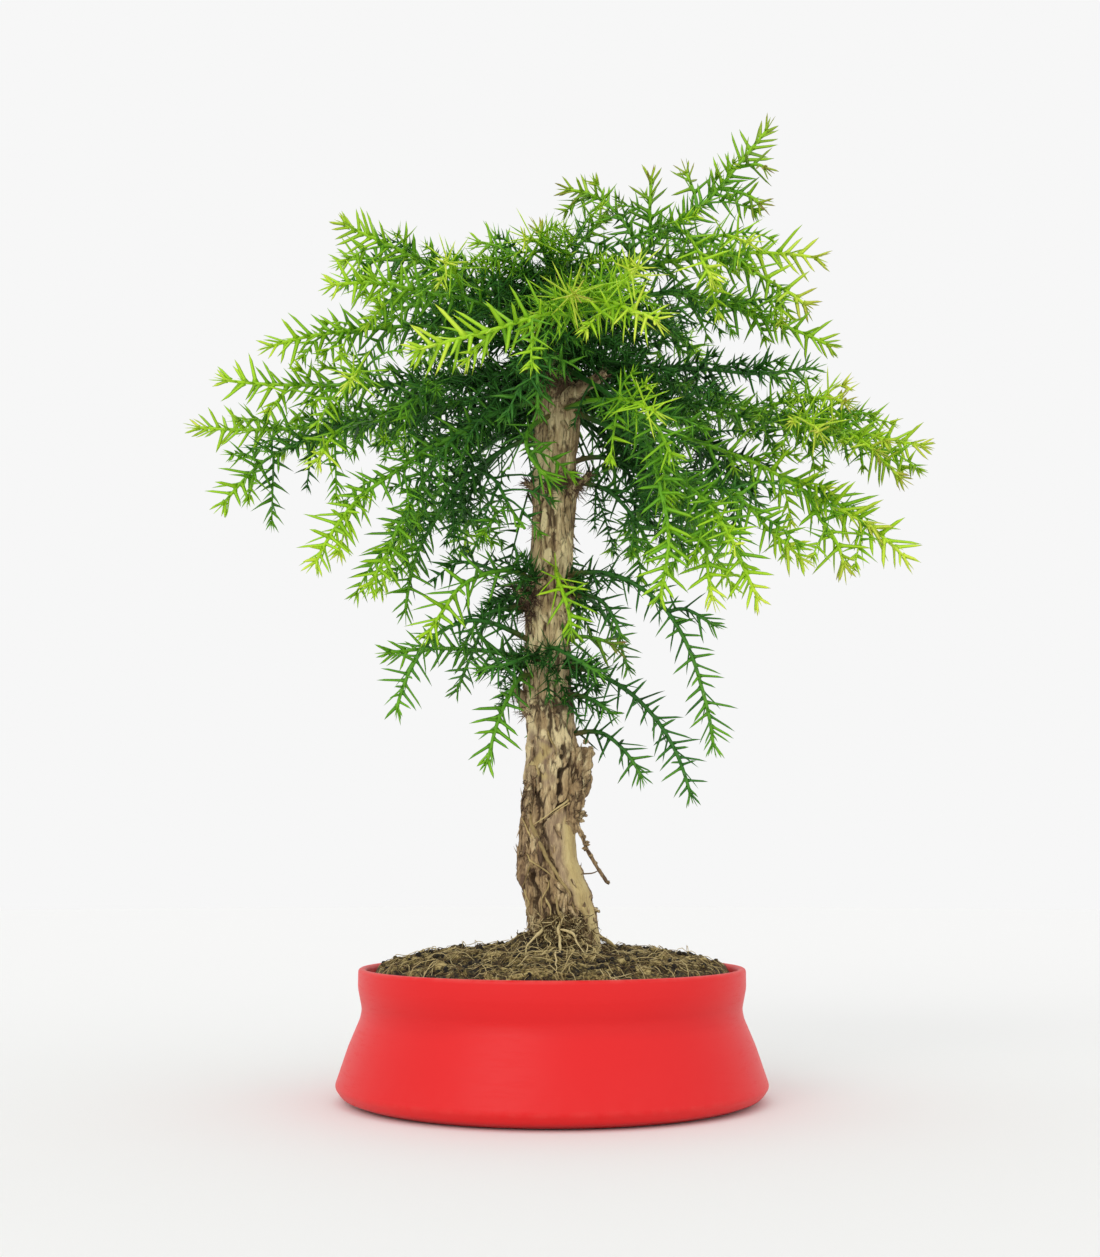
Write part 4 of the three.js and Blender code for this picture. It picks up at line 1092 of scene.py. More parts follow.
def flake_shape(settings):
    """Lifted flakes of bark: short wide blades that leave the bark at a small angle, up or down,
    more of them low on the trunk, and others on the lifted bark."""
    random, count = np.random.default_rng(31), settings.flakes
    z = 96 + 320 * random.random(count) ** 1.35
    angle = tau * random.random(count)
    height, *_ = bark_height(angle, z, settings)
    roots = round_trunk(angle, z, ribbed(angle, z) + height * 0.8 - 0.4)
    out = outward(angle)
    around = np.cross(UP, out)
    up = np.where(random.random(count) < 0.4, 1.0, -1.0)[:, None]
    lift = np.radians(6 + 20 * random.random(count) ** 2)[:, None]
    lean = (0.45 * random.normal(size=count))[:, None]
    ways = unit(UP * up * np.cos(lift) + out * np.sin(lift) + around * lean * 0.6)
    long = 3 + 8 * random.random(count) ** 2
    wide = 1.6 + 3.2 * random.random(count)
    flakes = blades(roots, ways, around, long, wide, 0.7, 0.08, PLATE, tone=random.random(count))
    on_flaps = blades_on_limbs(FLAPS, 90, 5, 4.4, 0.9, 33, 0.1, 0.78, PLATE)
    points, faces, marks = join([flakes, on_flaps])
    tone = marks["tone"]
    return points, faces, {"deep": 0.3 * (1 - tone), "wood": 0.1 + 0 * tone, "shed": 0.62 * tone}


# Rings and tufts of dead needles: height, spread, direction, its spread, number, length.
DEAD_NEEDLES = [
    (364, 3.5, 270, 400, 200, 8.5), (366, 3.0, 330, 34, 70, 11), (292, 7, 214, 44, 130, 13),
    (298, 4, 270, 400, 80, 7), (229, 4, 200, 60, 60, 8), (228, 4, 270, 400, 60, 6),
    (424, 5, 300, 200, 150, 8), (262, 5, 190, 60, 40, 7), (340, 5, 200, 60, 26, 6),
]  # fmt: skip


def dead_needle_shape():
    """Brown needles that still hang in bristly rings where whorls of branches grew, at a tuft on
    the left, and on the stubs."""
    random = np.random.default_rng(37)
    parts = []
    for height, spread, direction, fan, count, length in DEAD_NEEDLES:
        z = height + spread * random.normal(size=count)
        angle = np.radians(direction + fan * (random.random(count) - 0.5))
        out = outward(angle)
        around = np.cross(UP, out)
        roots = round_trunk(angle, z, ribbed(angle, z) - 0.6)
        spin, rise = 0.9 * random.normal(size=(count, 1)), 0.75 * random.normal(size=(count, 1)) - 0.1
        ways = unit(out * 0.75 + around * spin + UP * rise)
        long = length * (0.5 + 0.8 * random.random(count))
        wide = 0.7 + 0.7 * random.random(count)
        lift = 0.1 + 0.6 * random.random(count)
        parts.append(blades(roots, ways, around, long, wide, wide * 0.5, 0.15, lift=lift))
    points, faces, marks = blades_on_limbs(STUBS, 46, 5.5, 1.2, 0.5, 41, 0.4, 0.9)
    return join([*parts, (points, faces, {"lift": 0.1 + 0.5 * marks["tone"]})])


def blades_on_limbs(rows, count, length, width, thickness, seed, lean, reach, form=AWL):
    """Blades set at random along the surfaces of limbs, over a share of their length, which lean
    out and towards their ends. Each also gets a random number, which sets its tone."""
    random = np.random.default_rng(seed)
    parts = []
    for points, foot, head, _, _ in rows:
        share = 0.1 + reach * random.random(count)
        centre, ahead = place_on(through(points, 24)[None], 0, share)
        side = unit(np.cross(ahead, random.normal(size=(count, 3))))
        roots = centre + side * (lerp(foot, head, share) * 0.8)[:, None]
        ways = unit(ahead * 0.7 + side * lean * (1 + 2 * random.random((count, 1))))
        long = length * (0.5 + random.random(count))
        wide = width * (0.6 + 0.8 * random.random(count))
        tone, edges = random.random(count), np.cross(ahead, side)
        parts.append(blades(roots, ways, edges, long, wide, thickness, 0.1, form, tone=tone))
    return join(parts)


def bark_finish(settings):
    """Scaly bark: brown scales, paler where they have worn thin and, as painted light against the
    crown's shade, paler from 130 mm up, near black in the joints between the scales and, as painted
    shade, in the folds, the whorl rings and the limbs' hollows, greyer under the crown, and smooth
    tan wood on the rib at the foot, with fine long grain."""
    f = Finish("bark")
    place, z = f.where(), f.height()
    long = f.where((1, 1, 0.28))
    deep, wood, shed = f.mark("deep"), f.mark("wood"), f.mark("shed")
    patch = f.speckle(long, 8, 5, 0.62).between(0.28, 0.72)
    grain = f.speckle(f.where((1, 1, 0.14)), 1.2, 5, 0.65).between(0.25, 0.75)
    bent = f.stirred(f.where((1, 1, 0.16)), 5, 4)
    number = f.add("SeparateColor", {0: f.cells(bent, 4.2, output="Color")}, "Red")
    edges = 1 - f.cells(bent, 4.2, "DISTANCE_TO_EDGE").between(0.01, 0.1)
    # Painted light: paler from 130 mm up, to offset the shade that the crown casts on the upper trunk.
    tone = patch * 0.26 + shed * 0.66 + number * 0.36 + grain * 0.32 - 0.41 + z.between(0.13, 0.25) * 0.27
    base = f.ramp(
        tone, (0.04, "#5d4733"), (0.26, settings.brown), (0.48, "#cbb184"), (0.74, settings.pale)
    )
    rosy = f.speckle(long, 26, 3).between(0.45, 0.65) * (1 - z.between(0.14, 0.22))
    base = f.mix(rosy * 0.35, base, "#8f7059")
    under_crown = z.between(0.37, 0.45) * (0.3 + patch * 0.3)
    base = f.mix(under_crown, base, settings.grey)
    worn = f.ramp(grain * 0.7 + patch * 0.3, (0.1, "#7d6650"), (0.5, "#a58c6c"), (0.95, "#c8af88"))
    base = f.mix(wood.between(0.1, 0.5), base, worn)
    bare = f.ramp(
        grain * 0.35 + patch * 0.55, (0.1, "#a58a58"), (0.5, settings.sapwood), (0.9, "#dcc990")
    )
    base = f.mix(wood.between(0.55, 0.95), base, bare)
    cracks = edges * f.speckle(place, 7, 3).between(0.38, 0.6) * (1 - shed.between(0.7, 0.9))
    specks = f.speckle(f.where((1, 1, 0.6)), 1.7, 5, 0.7).between(0.56, 0.68)
    base = f.mix(specks * (0.5 - wood * 0.35), base, "#5e4833")
    # Near black in the joints and cracks, and painted shade in the folds, the whorl rings and the limbs'
    # hollows.
    dark = (deep + cracks * (1 - wood) * 0.6).between(0.12, 0.95)
    base = f.mix(dark * (0.8 + grain * 0.15), base, settings.fissure_and_shade)
    height = grain * 0.6 + patch * 0.3 + (number * 0.5 - cracks * 0.9) * (1 - wood)
    return f.shade(base, 0.8 + grain * 0.15 - wood * 0.12, height, 0.7)


def dead_leaf_finish():
    """Dry needles, each with its own brown."""
    f = Finish("dead_needles")
    hue, mottle = f.mark("lift"), f.speckle(f.where(), 3, 4)
    stops = (0.0, "#33221a"), (0.4, "#5f4534"), (0.75, "#8a6b4d"), (1.0, "#b79a72")
    base = f.ramp(hue * 0.9 + mottle * 0.3 - 0.1, *stops)
    return f.shade(base, 0.7 + mottle * 0.2, mottle, 0.1)


class BONSAI_OT_trunk(Operator):
    """Make the trunk with its bark, stubs, roots, lifted flakes and dead needles"""

    bl_idname = "bonsai.trunk"
    bl_label = "Trunk"

    def execute(self, context):
        settings, clods = context.scene.bonsai.bark, context.scene.bonsai.soil.clods / MM
        limbs = [limb_shape(*row, seed=i) for i, row in enumerate([*STUBS, *FLAPS, STRIP])]
        for i, (direction, reach, radius) in enumerate(ROOTS):
            line = root_line(direction, reach)
            limbs.append(limb_shape(line, radius + 1.6, radius * 0.55, 0.45, 0.12, seed=20 + i))
        places = np.array(LUMPS)
        marks = {"deep": 0.35, "wood": 0.0, "shed": 0.5}
        random = np.random.default_rng(53)
        lumps = balls(places[:, :3], places[:, 3], random, 7, 11, 0.42, **marks)
        bark = bark_finish(settings)
        whole = join([bark_shape(settings), lumps, *limbs])
        make_piece("trunk_bark", whole, bark, "bark", "trunk")
        make_piece("bark_flakes", flake_shape(settings), bark, "bark")
        strings = [string_shape(rows, clods, settings) for rows in (STRINGS, FREE_ROOTS)]
        strings = join([*strings, shaded_fringe_shape()])
        make_piece("thin_roots", strings, dry_strands(context.scene.bonsai.soil), "bark")
        make_piece("dead_needles", dead_needle_shape(), dead_leaf_finish(), "bark")
        return {"FINISHED"}


# Leafy shoots

# A row for each shoot: its name, the height at which it leaves the trunk, its middle, or none for
# an even arch, its tip and its tone. Then come, where they differ from the tone's, the ages of
# its needles at its foot and at its tip, how brown the sun has made its tip, and how much of its
# foot is bare. A point stands for none.
#
# An indented row is a side shoot of the last row that isn't, and leaves it at a share of its
# length. A name that starts with _ is added to the branch's name. A side shoot with no tone is
# part of its branch.
SHOOTS = """
left_crest 478 -68,-25,492 -125,-40,517 green 0.25,0.85 0.3
 _back 0.5 . -133,12,512
left_crest_low 464 -71,-60,467 -124,-95,459 green 0.22,0.85
 left_crest_star 0.45 . -59,-120,463
left_arm 451 -92,-30,455 -166,-50,437 green 0.2,0.85
front_lime 466 4,-112,437 -71,-150,404 lime 0.45,0.86
left_span 439 -110,-20,422 -197,-25,424 green 0.2,0.85
 _star 0.55 . -111,-110,399 lime
 _dark 0.22 . -88,-60,396 . 0.12,0.45
left_reach 429 -119,5,406 -220,10,404 green 0.16,0.82 0.25
 _lime 0.5 . -136,-55,367 . 0.3,0.95
 _drop 0.45 -164,0,386 -199,-10,351
 _dark 0.2 . -109,60,405
left_bow 420 -89,-50,366 -131,-90,301 green 0.2,0.85
 _inner 0.35 -75,-40,359 -104,-60,293 . 0.22,0.8
 _dark 0.15 . -67,-20,379 . 0.12,0.45
left_hang 398 -65,0,356 -88,-10,285 dark 0.14,0.5
 _inner 0.35 . -16,-40,330 . 0.14,0.5
 _back 0.25 . -62,40,345
mid_left_lime 302 -40,-30,306 -70,-60,266 lime 0.3,0.8
 mid_left_dark 0.3 . -62,0,317
mid_left_droop 286 -37,-15,284 -53,-20,261 dark
low_left_long 266 -61,-40,271 -87,-70,221 dark 0.14,0.5
low_left_flat 256 -52,-15,261 -96,-30,258 green 0.2,0.55
low_left_hang 246 -26,-30,235 -37,-45,193 green 0.3,0.55
low_front_left 256 -21,-45,251 -41,-65,244 dark
low_front_right 262 5,-45,255 27,-75,241 dark
front_lime_drop 314 8,-38,294 11,-52,268 lime 0.8,0.62
low_olive_tuft 268 . 36,-25,263 lime 0.3,0.55 0.9
front_curtain 458 -8,-60,435 -8,-66,393 dark 0.1,0.4
front_curtain_lime 408 -14,-35,384 -2,-48,358 lime 0.28,0.56
top_spire 492 59,-10,512 133,-20,585 green 0.35,0.72 0.6
 _a 0.8 . 130,-30,556 . 0.45,0.75 0.95
 _b 0.68 . 127,-30,533 . 0.45,0.72 1.0
 _c 0.6 . 84,-5,564 . 0.4,0.75 0.65
 _lime 0.45 . 93,-65,474
 top_fork 0.3 44,5,541 10,10,559 . 0.36,0.74 0.8
 top_fork_tuft 0.42 . 60,-30,550 . 0.4,0.76 0.85
crown_front 489 -6,-32,503 -16,-66,497 lime
crown_right 496 14,14,520 34,26,546 green . 0.5
crown_tuft 499 . -7,-20,519 lime . 0.6
crown_left 488 -20,14,514 -48,30,532 green
front_star_right 484 30,-90,458 45,-160,446 lime
right_crest 480 87,10,514 167,10,514 lime 0.45,0.95 0.5
 _low 0.65 . 155,-15,475 . . 0.6
 _tuft 0.5 . 116,-60,497
right_arm 468 79,-10,481 169,-20,447 green . 0.3
right_arm_dark 448 80,10,440 166,20,445 dark
front_lime_right 472 27,-95,448 55,-150,420 lime . . 40
front_orange 478 5,-80,454 12,-145,436 lime . 0.75
right_reach 433 114,10,413 228,0,390 green 0.18,0.92 0.5
 _up 0.72 . 175,-20,413 . 0.42,0.95 0.65
 _star 0.58 . 150,-90,375 lime 0.5,0.95 0.6
 _red 0.68 . 208,-25,364 . 0.42,0.95 0.8
 _spray 0.5 . 168,-70,398 . 0.5,0.95 0.7
 _fan 0.62 . 188,-60,371 . 0.45,0.9 0.75
 _dark 0.3 . 116,60,369
right_bow 423 113,-20,376 189,-40,330 lime 0.32,0.98 0.45
 _low 0.68 . 206,-40,313
 _tip 0.72 . 169,-50,306 . . 0.45
 _dark 0.3 . 131,30,359
right_star 412 68,-55,363 98,-120,305 green 0.08,0.85 . 44
 _low 0.6 . 88,-95,280 . 0.35,0.95
 _side 0.7 . 113,-95,280 . 0.35,1.0
 _out 0.55 . 143,-60,308 . 0.35,0.95
right_curtain 442 56,-85,363 59,-100,280 green 0.05,0.74
front_lime_low 411 34,-75,398 54,-145,372 lime 0.4,0.85 . 52
 _b 0.4 . 65,-115,356 . 0.3,0.7
right_drop 424 33,8,410 39,6,363 dark
right_fill_a 378 47,5,377 92,0,336 dark
right_fill_b 366 40,-15,352 58,-25,321 dark
right_trail 307 62,-50,286 89,-80,200 dark 0.1,0.46
 _side 0.5 . 90,-75,268
right_short 294 29,-12,292 41,-20,268 dark
low_right_long 255 52,-40,226 77,-70,173 dark 0.06,0.3
low_right_small 236 . 35,-30,222 dark
low_right_droop 211 33,-18,209 52,-30,185 dark
back_high 484 6,60,522 8,118,540 green . 0.4
back_high_left 474 -50,80,497 -88,150,488 green
 _side 0.45 . -115,80,500
back_high_right 462 62,78,492 104,150,496 green
 _side 0.45 . 135,85,510
back_left 444 -92,75,440 -165,120,418 green
 _side 0.45 . -105,145,425
back_right 455 88,82,450 165,125,436 green
 _side 0.45 . 100,155,440
back_middle 437 6,100,448 -2,190,420 green
 _left 0.45 . -55,150,430
 _right 0.5 . 55,160,434
back_low_left 417 -72,85,384 -118,135,322 green
 _side 0.4 . -60,135,350
back_low_right 415 76,88,380 125,140,325 green
 _side 0.4 . 58,145,350
back_drop 382 8,72,362 18,108,292 dark
back_mid_left 300 -36,45,292 -62,80,246 dark
back_mid_right 302 30,52,296 50,90,262 dark
back_low 258 -4,48,250 -8,78,206 dark
"""
BRANCH_RADIUS, TWIG_RADIUS, TIP_RADIUS = 2.1, 1.35, 0.95
WHORL_PITCH, WHORL_FOOT = 18.5, 4
BARE_BRANCH, BARE_TWIG = 20, 6
LOW_SHOOTS = 320  # below this height a branch is leafy from its foot
SHORTEST_WITH_TWIGS = 40
LONG_TWIG, SHORT_TWIG = 46, 20  # lengths at a branch's foot and at its tip
NO_TWIGS, ALL_TWIGS = 262, 326  # heights of the tips of branches with no twigs and with all
TWIG_RADII, TWIG_BARE = (0.9, 0.5), 2.0
TIP_CROWD = 5  # needles in the tuft at a stem's tip
# Windows beside the trunk, where few needles grow: their lowest and highest x and z as the camera
# sees them on the plane through the trunk, and how far back they reach. The last one clears the
# view of the stub.
WINDOWS = [
    (-42, -12.5, 366, 393, 300), (-26, -12.5, 328, 366, 300), (16, 33, 372, 407, 300), (9, 40, 418, 444, -4),
]  # fmt: skip
WINDOW_SHARE = 0.12  # of the needles there are kept
EYE = np.array([-1.2, -1000, 137.9])  # the camera's place
PATH_STEPS = 26

# Age of the needles at a shoot's foot and at its tip, 0 for the oldest and 1 for the newest;
# their length as a share of the full one, and their width and spacing likewise; and the
# distance between side twigs.
# A dark shoot's old greens also stand for the shade low and deep in the crown: painted shade.
TONES = {
    "dark": (0.07, 0.36, 0.92, 0.8, 0.96, 5.8),
    "green": (0.14, 0.78, 1.0, 1.06, 1.0, 7.8),
    "lime": (0.46, 0.98, 1.2, 1.16, 1.3, 15),
}


class Shoot:
    """A shoot laid out from its row: its path, its radii, and how its needles grow."""

    def __init__(self, row, branch):
        cells = [cell.split(",") if cell != "." else [] for cell in row.split()]
        name, start, middle, tip, tone, ages, rust, bare = cells + [[]] * (8 - len(cells))
        self.parent = branch if row.startswith(" ") else None
        self.name, start, tip = name[0], float(start[0]), np.array(tip, dtype=float)
        if self.name.startswith("_"):
            self.name = branch.name + self.name
        towards = np.array(middle or tip, dtype=float)
        if self.parent:
            foot = self.parent.leave(start)
        else:
            x, y, r = trunk_at(np.array(start))
            foot = np.array([x, y, start]) + unit(np.array([towards[0] - x, towards[1] - y, 0.0])) * r * 0.6
        if not middle:
            towards = (foot + tip) / 2 + UP * np.linalg.norm(tip - foot) * 0.08
        paths, lengths = arches(foot[None], towards[None], tip[None], PATH_STEPS)
        self.path, self.length = paths[0], float(lengths[0])
        sway = 3.5 * np.sin(np.linspace(0, np.pi, PATH_STEPS))[:, None]
        self.path = self.path + sway * noises(self.path, 34, 100)

        self.node = self.parent.node if self.parent and not tone else self.name
        self.tone = tone[0] if tone else self.own_tone()
        self.branch_tone = tone[0] if tone else self.parent.branch_tone
        old, young, *self.habit = TONES[self.tone]
        self.ages = [float(age) for age in ages] or [old, young]
        self.rust = float(rust[0]) if rust else 0.0
        self.foot_radius = TWIG_RADIUS if self.parent else BRANCH_RADIUS
        leafy_foot = self.parent or self.path[0, 2] < LOW_SHOOTS
        self.bare = min(BARE_TWIG if leafy_foot else BARE_BRANCH, 0.3 * self.length)
        self.leafless = float(bare[0]) if bare else self.bare

    def own_tone(self):
        """The tone of a side shoot that is part of its branch: its name says where it differs."""
        last = self.name.rsplit("_", 1)[-1]
        return {"dark": "dark", "lime": "lime", "star": "lime"}.get(last, self.parent.tone)

    def leave(self, share):
        """Where a side shoot begins: half way between two of this shoot's whorls."""
        last = self.length - WHORL_FOOT - 1
        count = max(1, round((last - self.bare) / WHORL_PITCH))
        pitch = (last - self.bare) / count
        gap = np.clip(round((share * self.length - self.bare) / pitch - 0.5), 0, count - 1)
        at = (self.bare + gap * pitch + (pitch + WHORL_FOOT) / 2) / self.length
        return place_on(self.path[None], 0, np.array([at]))[0][0]


def in_window(points):
    """Whether each point is seen within one of the windows: the line from the camera through it
    meets the plane y = 0 there."""
    share = EYE[1] / (EYE[1] - points[:, 1])
    x, _, z = (EYE + (points - EYE) * share[:, None]).T
    behind = points[:, 1]
    inside = [(x > a) & (x < b) & (z > c) & (z < d) & (behind < back) for a, b, c, d, back in WINDOWS]
    return np.any(inside, axis=0)


def leafy_stems(paths, lengths, radii, bare, ages, leaf, rust, settings, random, form=AWL):
    """Stems with their needles, whose length, width and spacing the leaf gives.

    Each stem is a closed tube along its path. Its needles leave it in a spiral, 137.5 degrees
    from one to the next, leaning from the stem by an angle that falls off at the tip, where they
    are also shorter and closer. A needle is a blade whose flat sides face round the stem and
    whose edges face along it, and it bows towards the stem's tip.
    """
    count, head = len(paths), radii[1]
    foot, bare, old, young, length, width, spacing, rust = (
        np.broadcast_to(value, count) for value in (radii[0], bare, *ages, *leaf, rust)
    )
    steps = np.linspace(0, 1, paths.shape[1])
    rings = round_rings(paths, lerp(foot[:, None], head, np.sqrt(steps)), 7 if form is AWL else 5)
    age = lerp(old[:, None], young[:, None], steps**1.5)
    wood = (1 - smooth(steps * lengths[:, None], 3, 26)) * (foot[:, None] > 1.8)
    stems = closed_tubes(rings, age=age, ridge=0.3, rust=0.0, wood=wood)

    numbers = np.maximum(4, ((lengths - bare) / spacing)).astype(int)
    which = np.repeat(np.arange(count), numbers)
    order = np.arange(len(which)) - np.repeat(np.cumsum(numbers) - numbers, numbers)
    share = (order + 0.5) / numbers[which]
    share = share + 0.25 * share * (1 - share)
    jitter = 0.4 * spacing[which] * random.normal(size=len(which))
    at = bare[which] + (lengths - bare)[which] * share + jitter
    at = np.clip(at, bare[which] * 0.8, lengths[which])
    near = smooth(at - lengths[which], -15, 0)
    which = np.concatenate([which, np.repeat(np.arange(count), TIP_CROWD)])
    order = np.concatenate([order, np.tile(np.arange(TIP_CROWD), count) + 1000])
    at = np.concatenate([at, np.repeat(lengths, TIP_CROWD) - 1.2 * random.random(count * TIP_CROWD)])
    near = np.concatenate([near, np.full(count * TIP_CROWD, 1.25)])

    total, share, to_tip = len(which), at / lengths[which], at - lengths[which]
    middle, ahead = place_on(paths, which, share)
    across = unit(np.cross(ahead, ASKEW))
    over = np.cross(ahead, across)
    turn = GOLDEN * order + 2.4 * which + 0.25 * random.normal(size=total)
    out = across * np.cos(turn)[:, None] + over * np.sin(turn)[:, None]
    lean = lerp(settings.foot_lean, settings.tip_lean, near) + 0.13 * random.normal(size=total)
    lean = np.clip(lean, 0.08, 1.45)[:, None]
    ways = ahead * np.cos(lean) + out * np.sin(lean)
    roots = middle + out * (lerp(foot[which], head, np.sqrt(share)) * 0.35)[:, None]
    long = length[which] * (0.84 + 0.3 * random.random(total)) * lerp(1.0, 0.54, near.clip(0, 1))
    wide = width[which] * (0.85 + 0.3 * random.random(total)) * lerp(1.0, 0.8, near.clip(0, 1))
    curl = 0.07 + 0.07 * random.random(total)
    age = lerp(old[which], young[which], share**1.5) + 0.055 * random.normal(size=total)
    tipward = 0.6 * smooth(to_tip, -42, -4) + 0.7 * smooth(to_tip, -14, -3)
    brown = rust[which] * tipward * (0.35 + 0.65 * random.random(total))
    kept = ~in_window(middle + ways * (0.5 * long)[:, None]) | (random.random(total) < WINDOW_SHARE)
    columns = (roots, ways, ahead, long, wide, wide * 0.42, curl, age, brown)
    *columns, age, brown = (column[kept] for column in columns)
    points, faces, marks = blades(*columns, form, age=age, rust=brown, wood=0.0)
    share = marks.pop("share")
    marks["age"] += 0.09 * (share - 0.4)
    marks["rust"] *= 0.35 + 0.65 * share
    return join([stems, (points, faces, marks)])


def side_twigs(shoot, random):
    """Short twigs along a shoot, turned 137.5 degrees from one to the next, each at about half a
    right angle from it and shorter towards its tip. The lower a shoot hangs, the fewer it has.
    Returns their paths, their lengths and the share of the shoot's length at which each begins,
    or none."""
    first, last = max(0.1 * shoot.length + 6, shoot.leafless), 0.8 * shoot.length
    count = int((last - first) / shoot.habit[-1] * smooth(shoot.path[-1, 2], NO_TWIGS, ALL_TWIGS))
    if shoot.length < SHORTEST_WITH_TWIGS or count < 1:
        return None
    evenly = (np.arange(count) + random.random(count) * 0.7) / count
    share = (first + (last - first) * evenly) / shoot.length
    starts, ahead = place_on(shoot.path[None], 0, share)
    level = unit(np.cross(ahead, UP))
    over = np.cross(level, ahead)
    turn = np.arange(count) * GOLDEN + 0.5 * random.normal(size=count)
    side = level * np.cos(turn)[:, None] + over * (0.75 * np.sin(turn))[:, None]
    ways = unit(ahead * 0.75 + side + 0.25 * random.normal(size=(count, 3)))
    lengths = lerp(LONG_TWIG, SHORT_TWIG, share) * (0.6 + 0.62 * random.random(count))
    lengths = lengths * (1 - 0.45 * smooth(ways[:, 2], 0.2, 0.7))
    tips = starts + ways * lengths[:, None] - UP * (0.2 * lengths)[:, None]
    middles = (starts + tips) / 2 + UP * (0.12 * lengths)[:, None]
    return *arches(starts, middles, tips, 6), share


def needle_size(settings):
    """A full-grown needle's length, width and spacing."""
    return np.array([settings.length, settings.width, settings.spacing]) / MM


def shoot_shape(shoot, settings, random):
    """A shoot's own stem and needles, and its side twigs, whose needles are small and dark near
    the trunk, where they are older and where their darkness is also painted shade, and full-grown
    further out."""
    old, young = shoot.ages
    leaf = needle_size(settings) * shoot.habit[:3]
    path, radii = shoot.path[None], (shoot.foot_radius, TIP_RADIUS)
    lengths = np.array([shoot.length])
    stem = leafy_stems(path, lengths, radii, shoot.leafless, shoot.ages, leaf, shoot.rust, settings, random)
    twigs = side_twigs(shoot, random)
    if not twigs:
        return stem
    paths, lengths, share = twigs
    outer = smooth(share, 0.3, 0.8)
    age = lerp(old, young, share**1.5) + 0.07 * random.normal(size=len(share))
    # Older and darker near the trunk: age, and painted shade inside the crown.
    ages = age * lerp(0.5, 0.9, outer), age + 0.12 * outer + 0.04
    shares = lerp(0.62, 0.92, outer), lerp(0.48, 0.84, outer), lerp(0.84, 1.04, outer)
    leaf = [full * part for full, part in zip(needle_size(settings), shares)]
    growth = ages, leaf, 0.5 * shoot.rust
    leafy = leafy_stems(paths, lengths, TWIG_RADII, TWIG_BARE, *growth, settings, random, THIN_AWL)
    return join([stem, leafy])


# Dark twigs on the trunk itself, whose dark needles paint the shade inside the crown: the lowest
# and the highest, their direction and its spread, their number, the shortest and the longest,
# and the rise of the lowest and of the highest.
INNER_TWIGS = [
    (440, 500, 0, 360, 116, 30, 72, -0.35, 0.4),
    (410, 440, 90, 220, 60, 30, 76, -0.5, 0.0),
    (288, 304, 205, 80, 12, 14, 32, -0.5, 0.4),
    (292, 304, 340, 70, 5, 10, 20, -0.6, 0.4),
    (247, 259, 258, 130, 19, 12, 28, -0.3, 0.2),
    (234, 252, 338, 60, 7, 10, 22, -0.5, 0.3),
    (292, 304, 90, 120, 10, 14, 30, -0.5, 0.4),
    (246, 260, 90, 120, 10, 12, 28, -0.5, 0.4),
]


def inner_twigs(row, settings, random):
    """Dark twigs that leave the trunk and fill the gaps between the shoots, whose old dark needles
    paint the shade inside the crown, none of them above the crown's outline."""
    lowest, highest, direction, spread, count, shortest, longest, *rises = row
    z = lerp(lowest, highest, random.random(count))
    angle = radians(direction) + (np.arange(count) * 0.618 % 1 - 0.5) * radians(spread)
    r = trunk_at(z)[2]
    starts = round_trunk(angle, z, r * 0.6)
    lengths = r * 0.4 + lerp(shortest, longest, random.random(count))
    rise = lerp(*rises, (z - lowest) / (highest - lowest)) + 0.3 * random.normal(size=count)
    ways = outward(angle) + 0.25 * random.normal(size=(count, 3))
    tips = starts + ways * lengths[:, None] + UP * (rise * lengths)[:, None]
    roof = 495 + 0.35 * tips[:, 0].clip(-20, 80) + 8 * random.random(count)
    tips[:, 2] = np.minimum(tips[:, 2], roof)
    middles = (starts + tips) / 2 + UP * (0.08 * lengths)[:, None]
    paths, lengths = arches(starts, middles, tips, 6)
    ages = 0.08, 0.22 + 0.62 * smooth(tips[:, 2], 470, 502)
    leaf = needle_size(settings) * (0.76, 0.54, 0.86)
    return leafy_stems(paths, lengths, (1.0, 0.55), 3.0, ages, leaf, 0.0, settings, random, THIN_AWL)


def needle_finish(tone, settings):
    """Living needles: one green from the old to the newest by age, whose darkest greens also paint
    the shade deep in the crown, a pale line along each flat side, which is a lighter midrib and a
    painted highlight, browned tips, and brown wood at a branch's foot, with a waxy, faintly uneven
    surface."""
    f = Finish("needles_" + tone)
    place = f.where()
    mottle = f.speckle(place, 12, 4)
    fine = f.speckle(place, 1.5, 3)
    age = f.mark("age") + (mottle - 0.5) * 0.16 + (fine - 0.5) * 0.05
    greens = settings.oldest_and_shaded, settings.old, settings.grown, settings.young, settings.newest
    base = f.ramp(age, *zip((0.0, 0.24, 0.52, 0.82, 1.0), greens))
    # A paler line along each flat side's ridge: a lighter midrib, and a painted highlight.
    pale = f.mix(1.0, base, (1.5, 1.45, 1.7), "MULTIPLY")
    base = f.mix(f.mark("ridge") * 0.3, base, pale)
    base = f.mix(f.mark("rust") * (0.65 + fine * 0.5), base, settings.rust)
    base = f.mix(f.mark("wood") * (0.7 + mottle * 0.3), base, "#6b5436")
    return f.shade(base, 0.42 + fine * 0.16, fine, 0.12, 0.25)


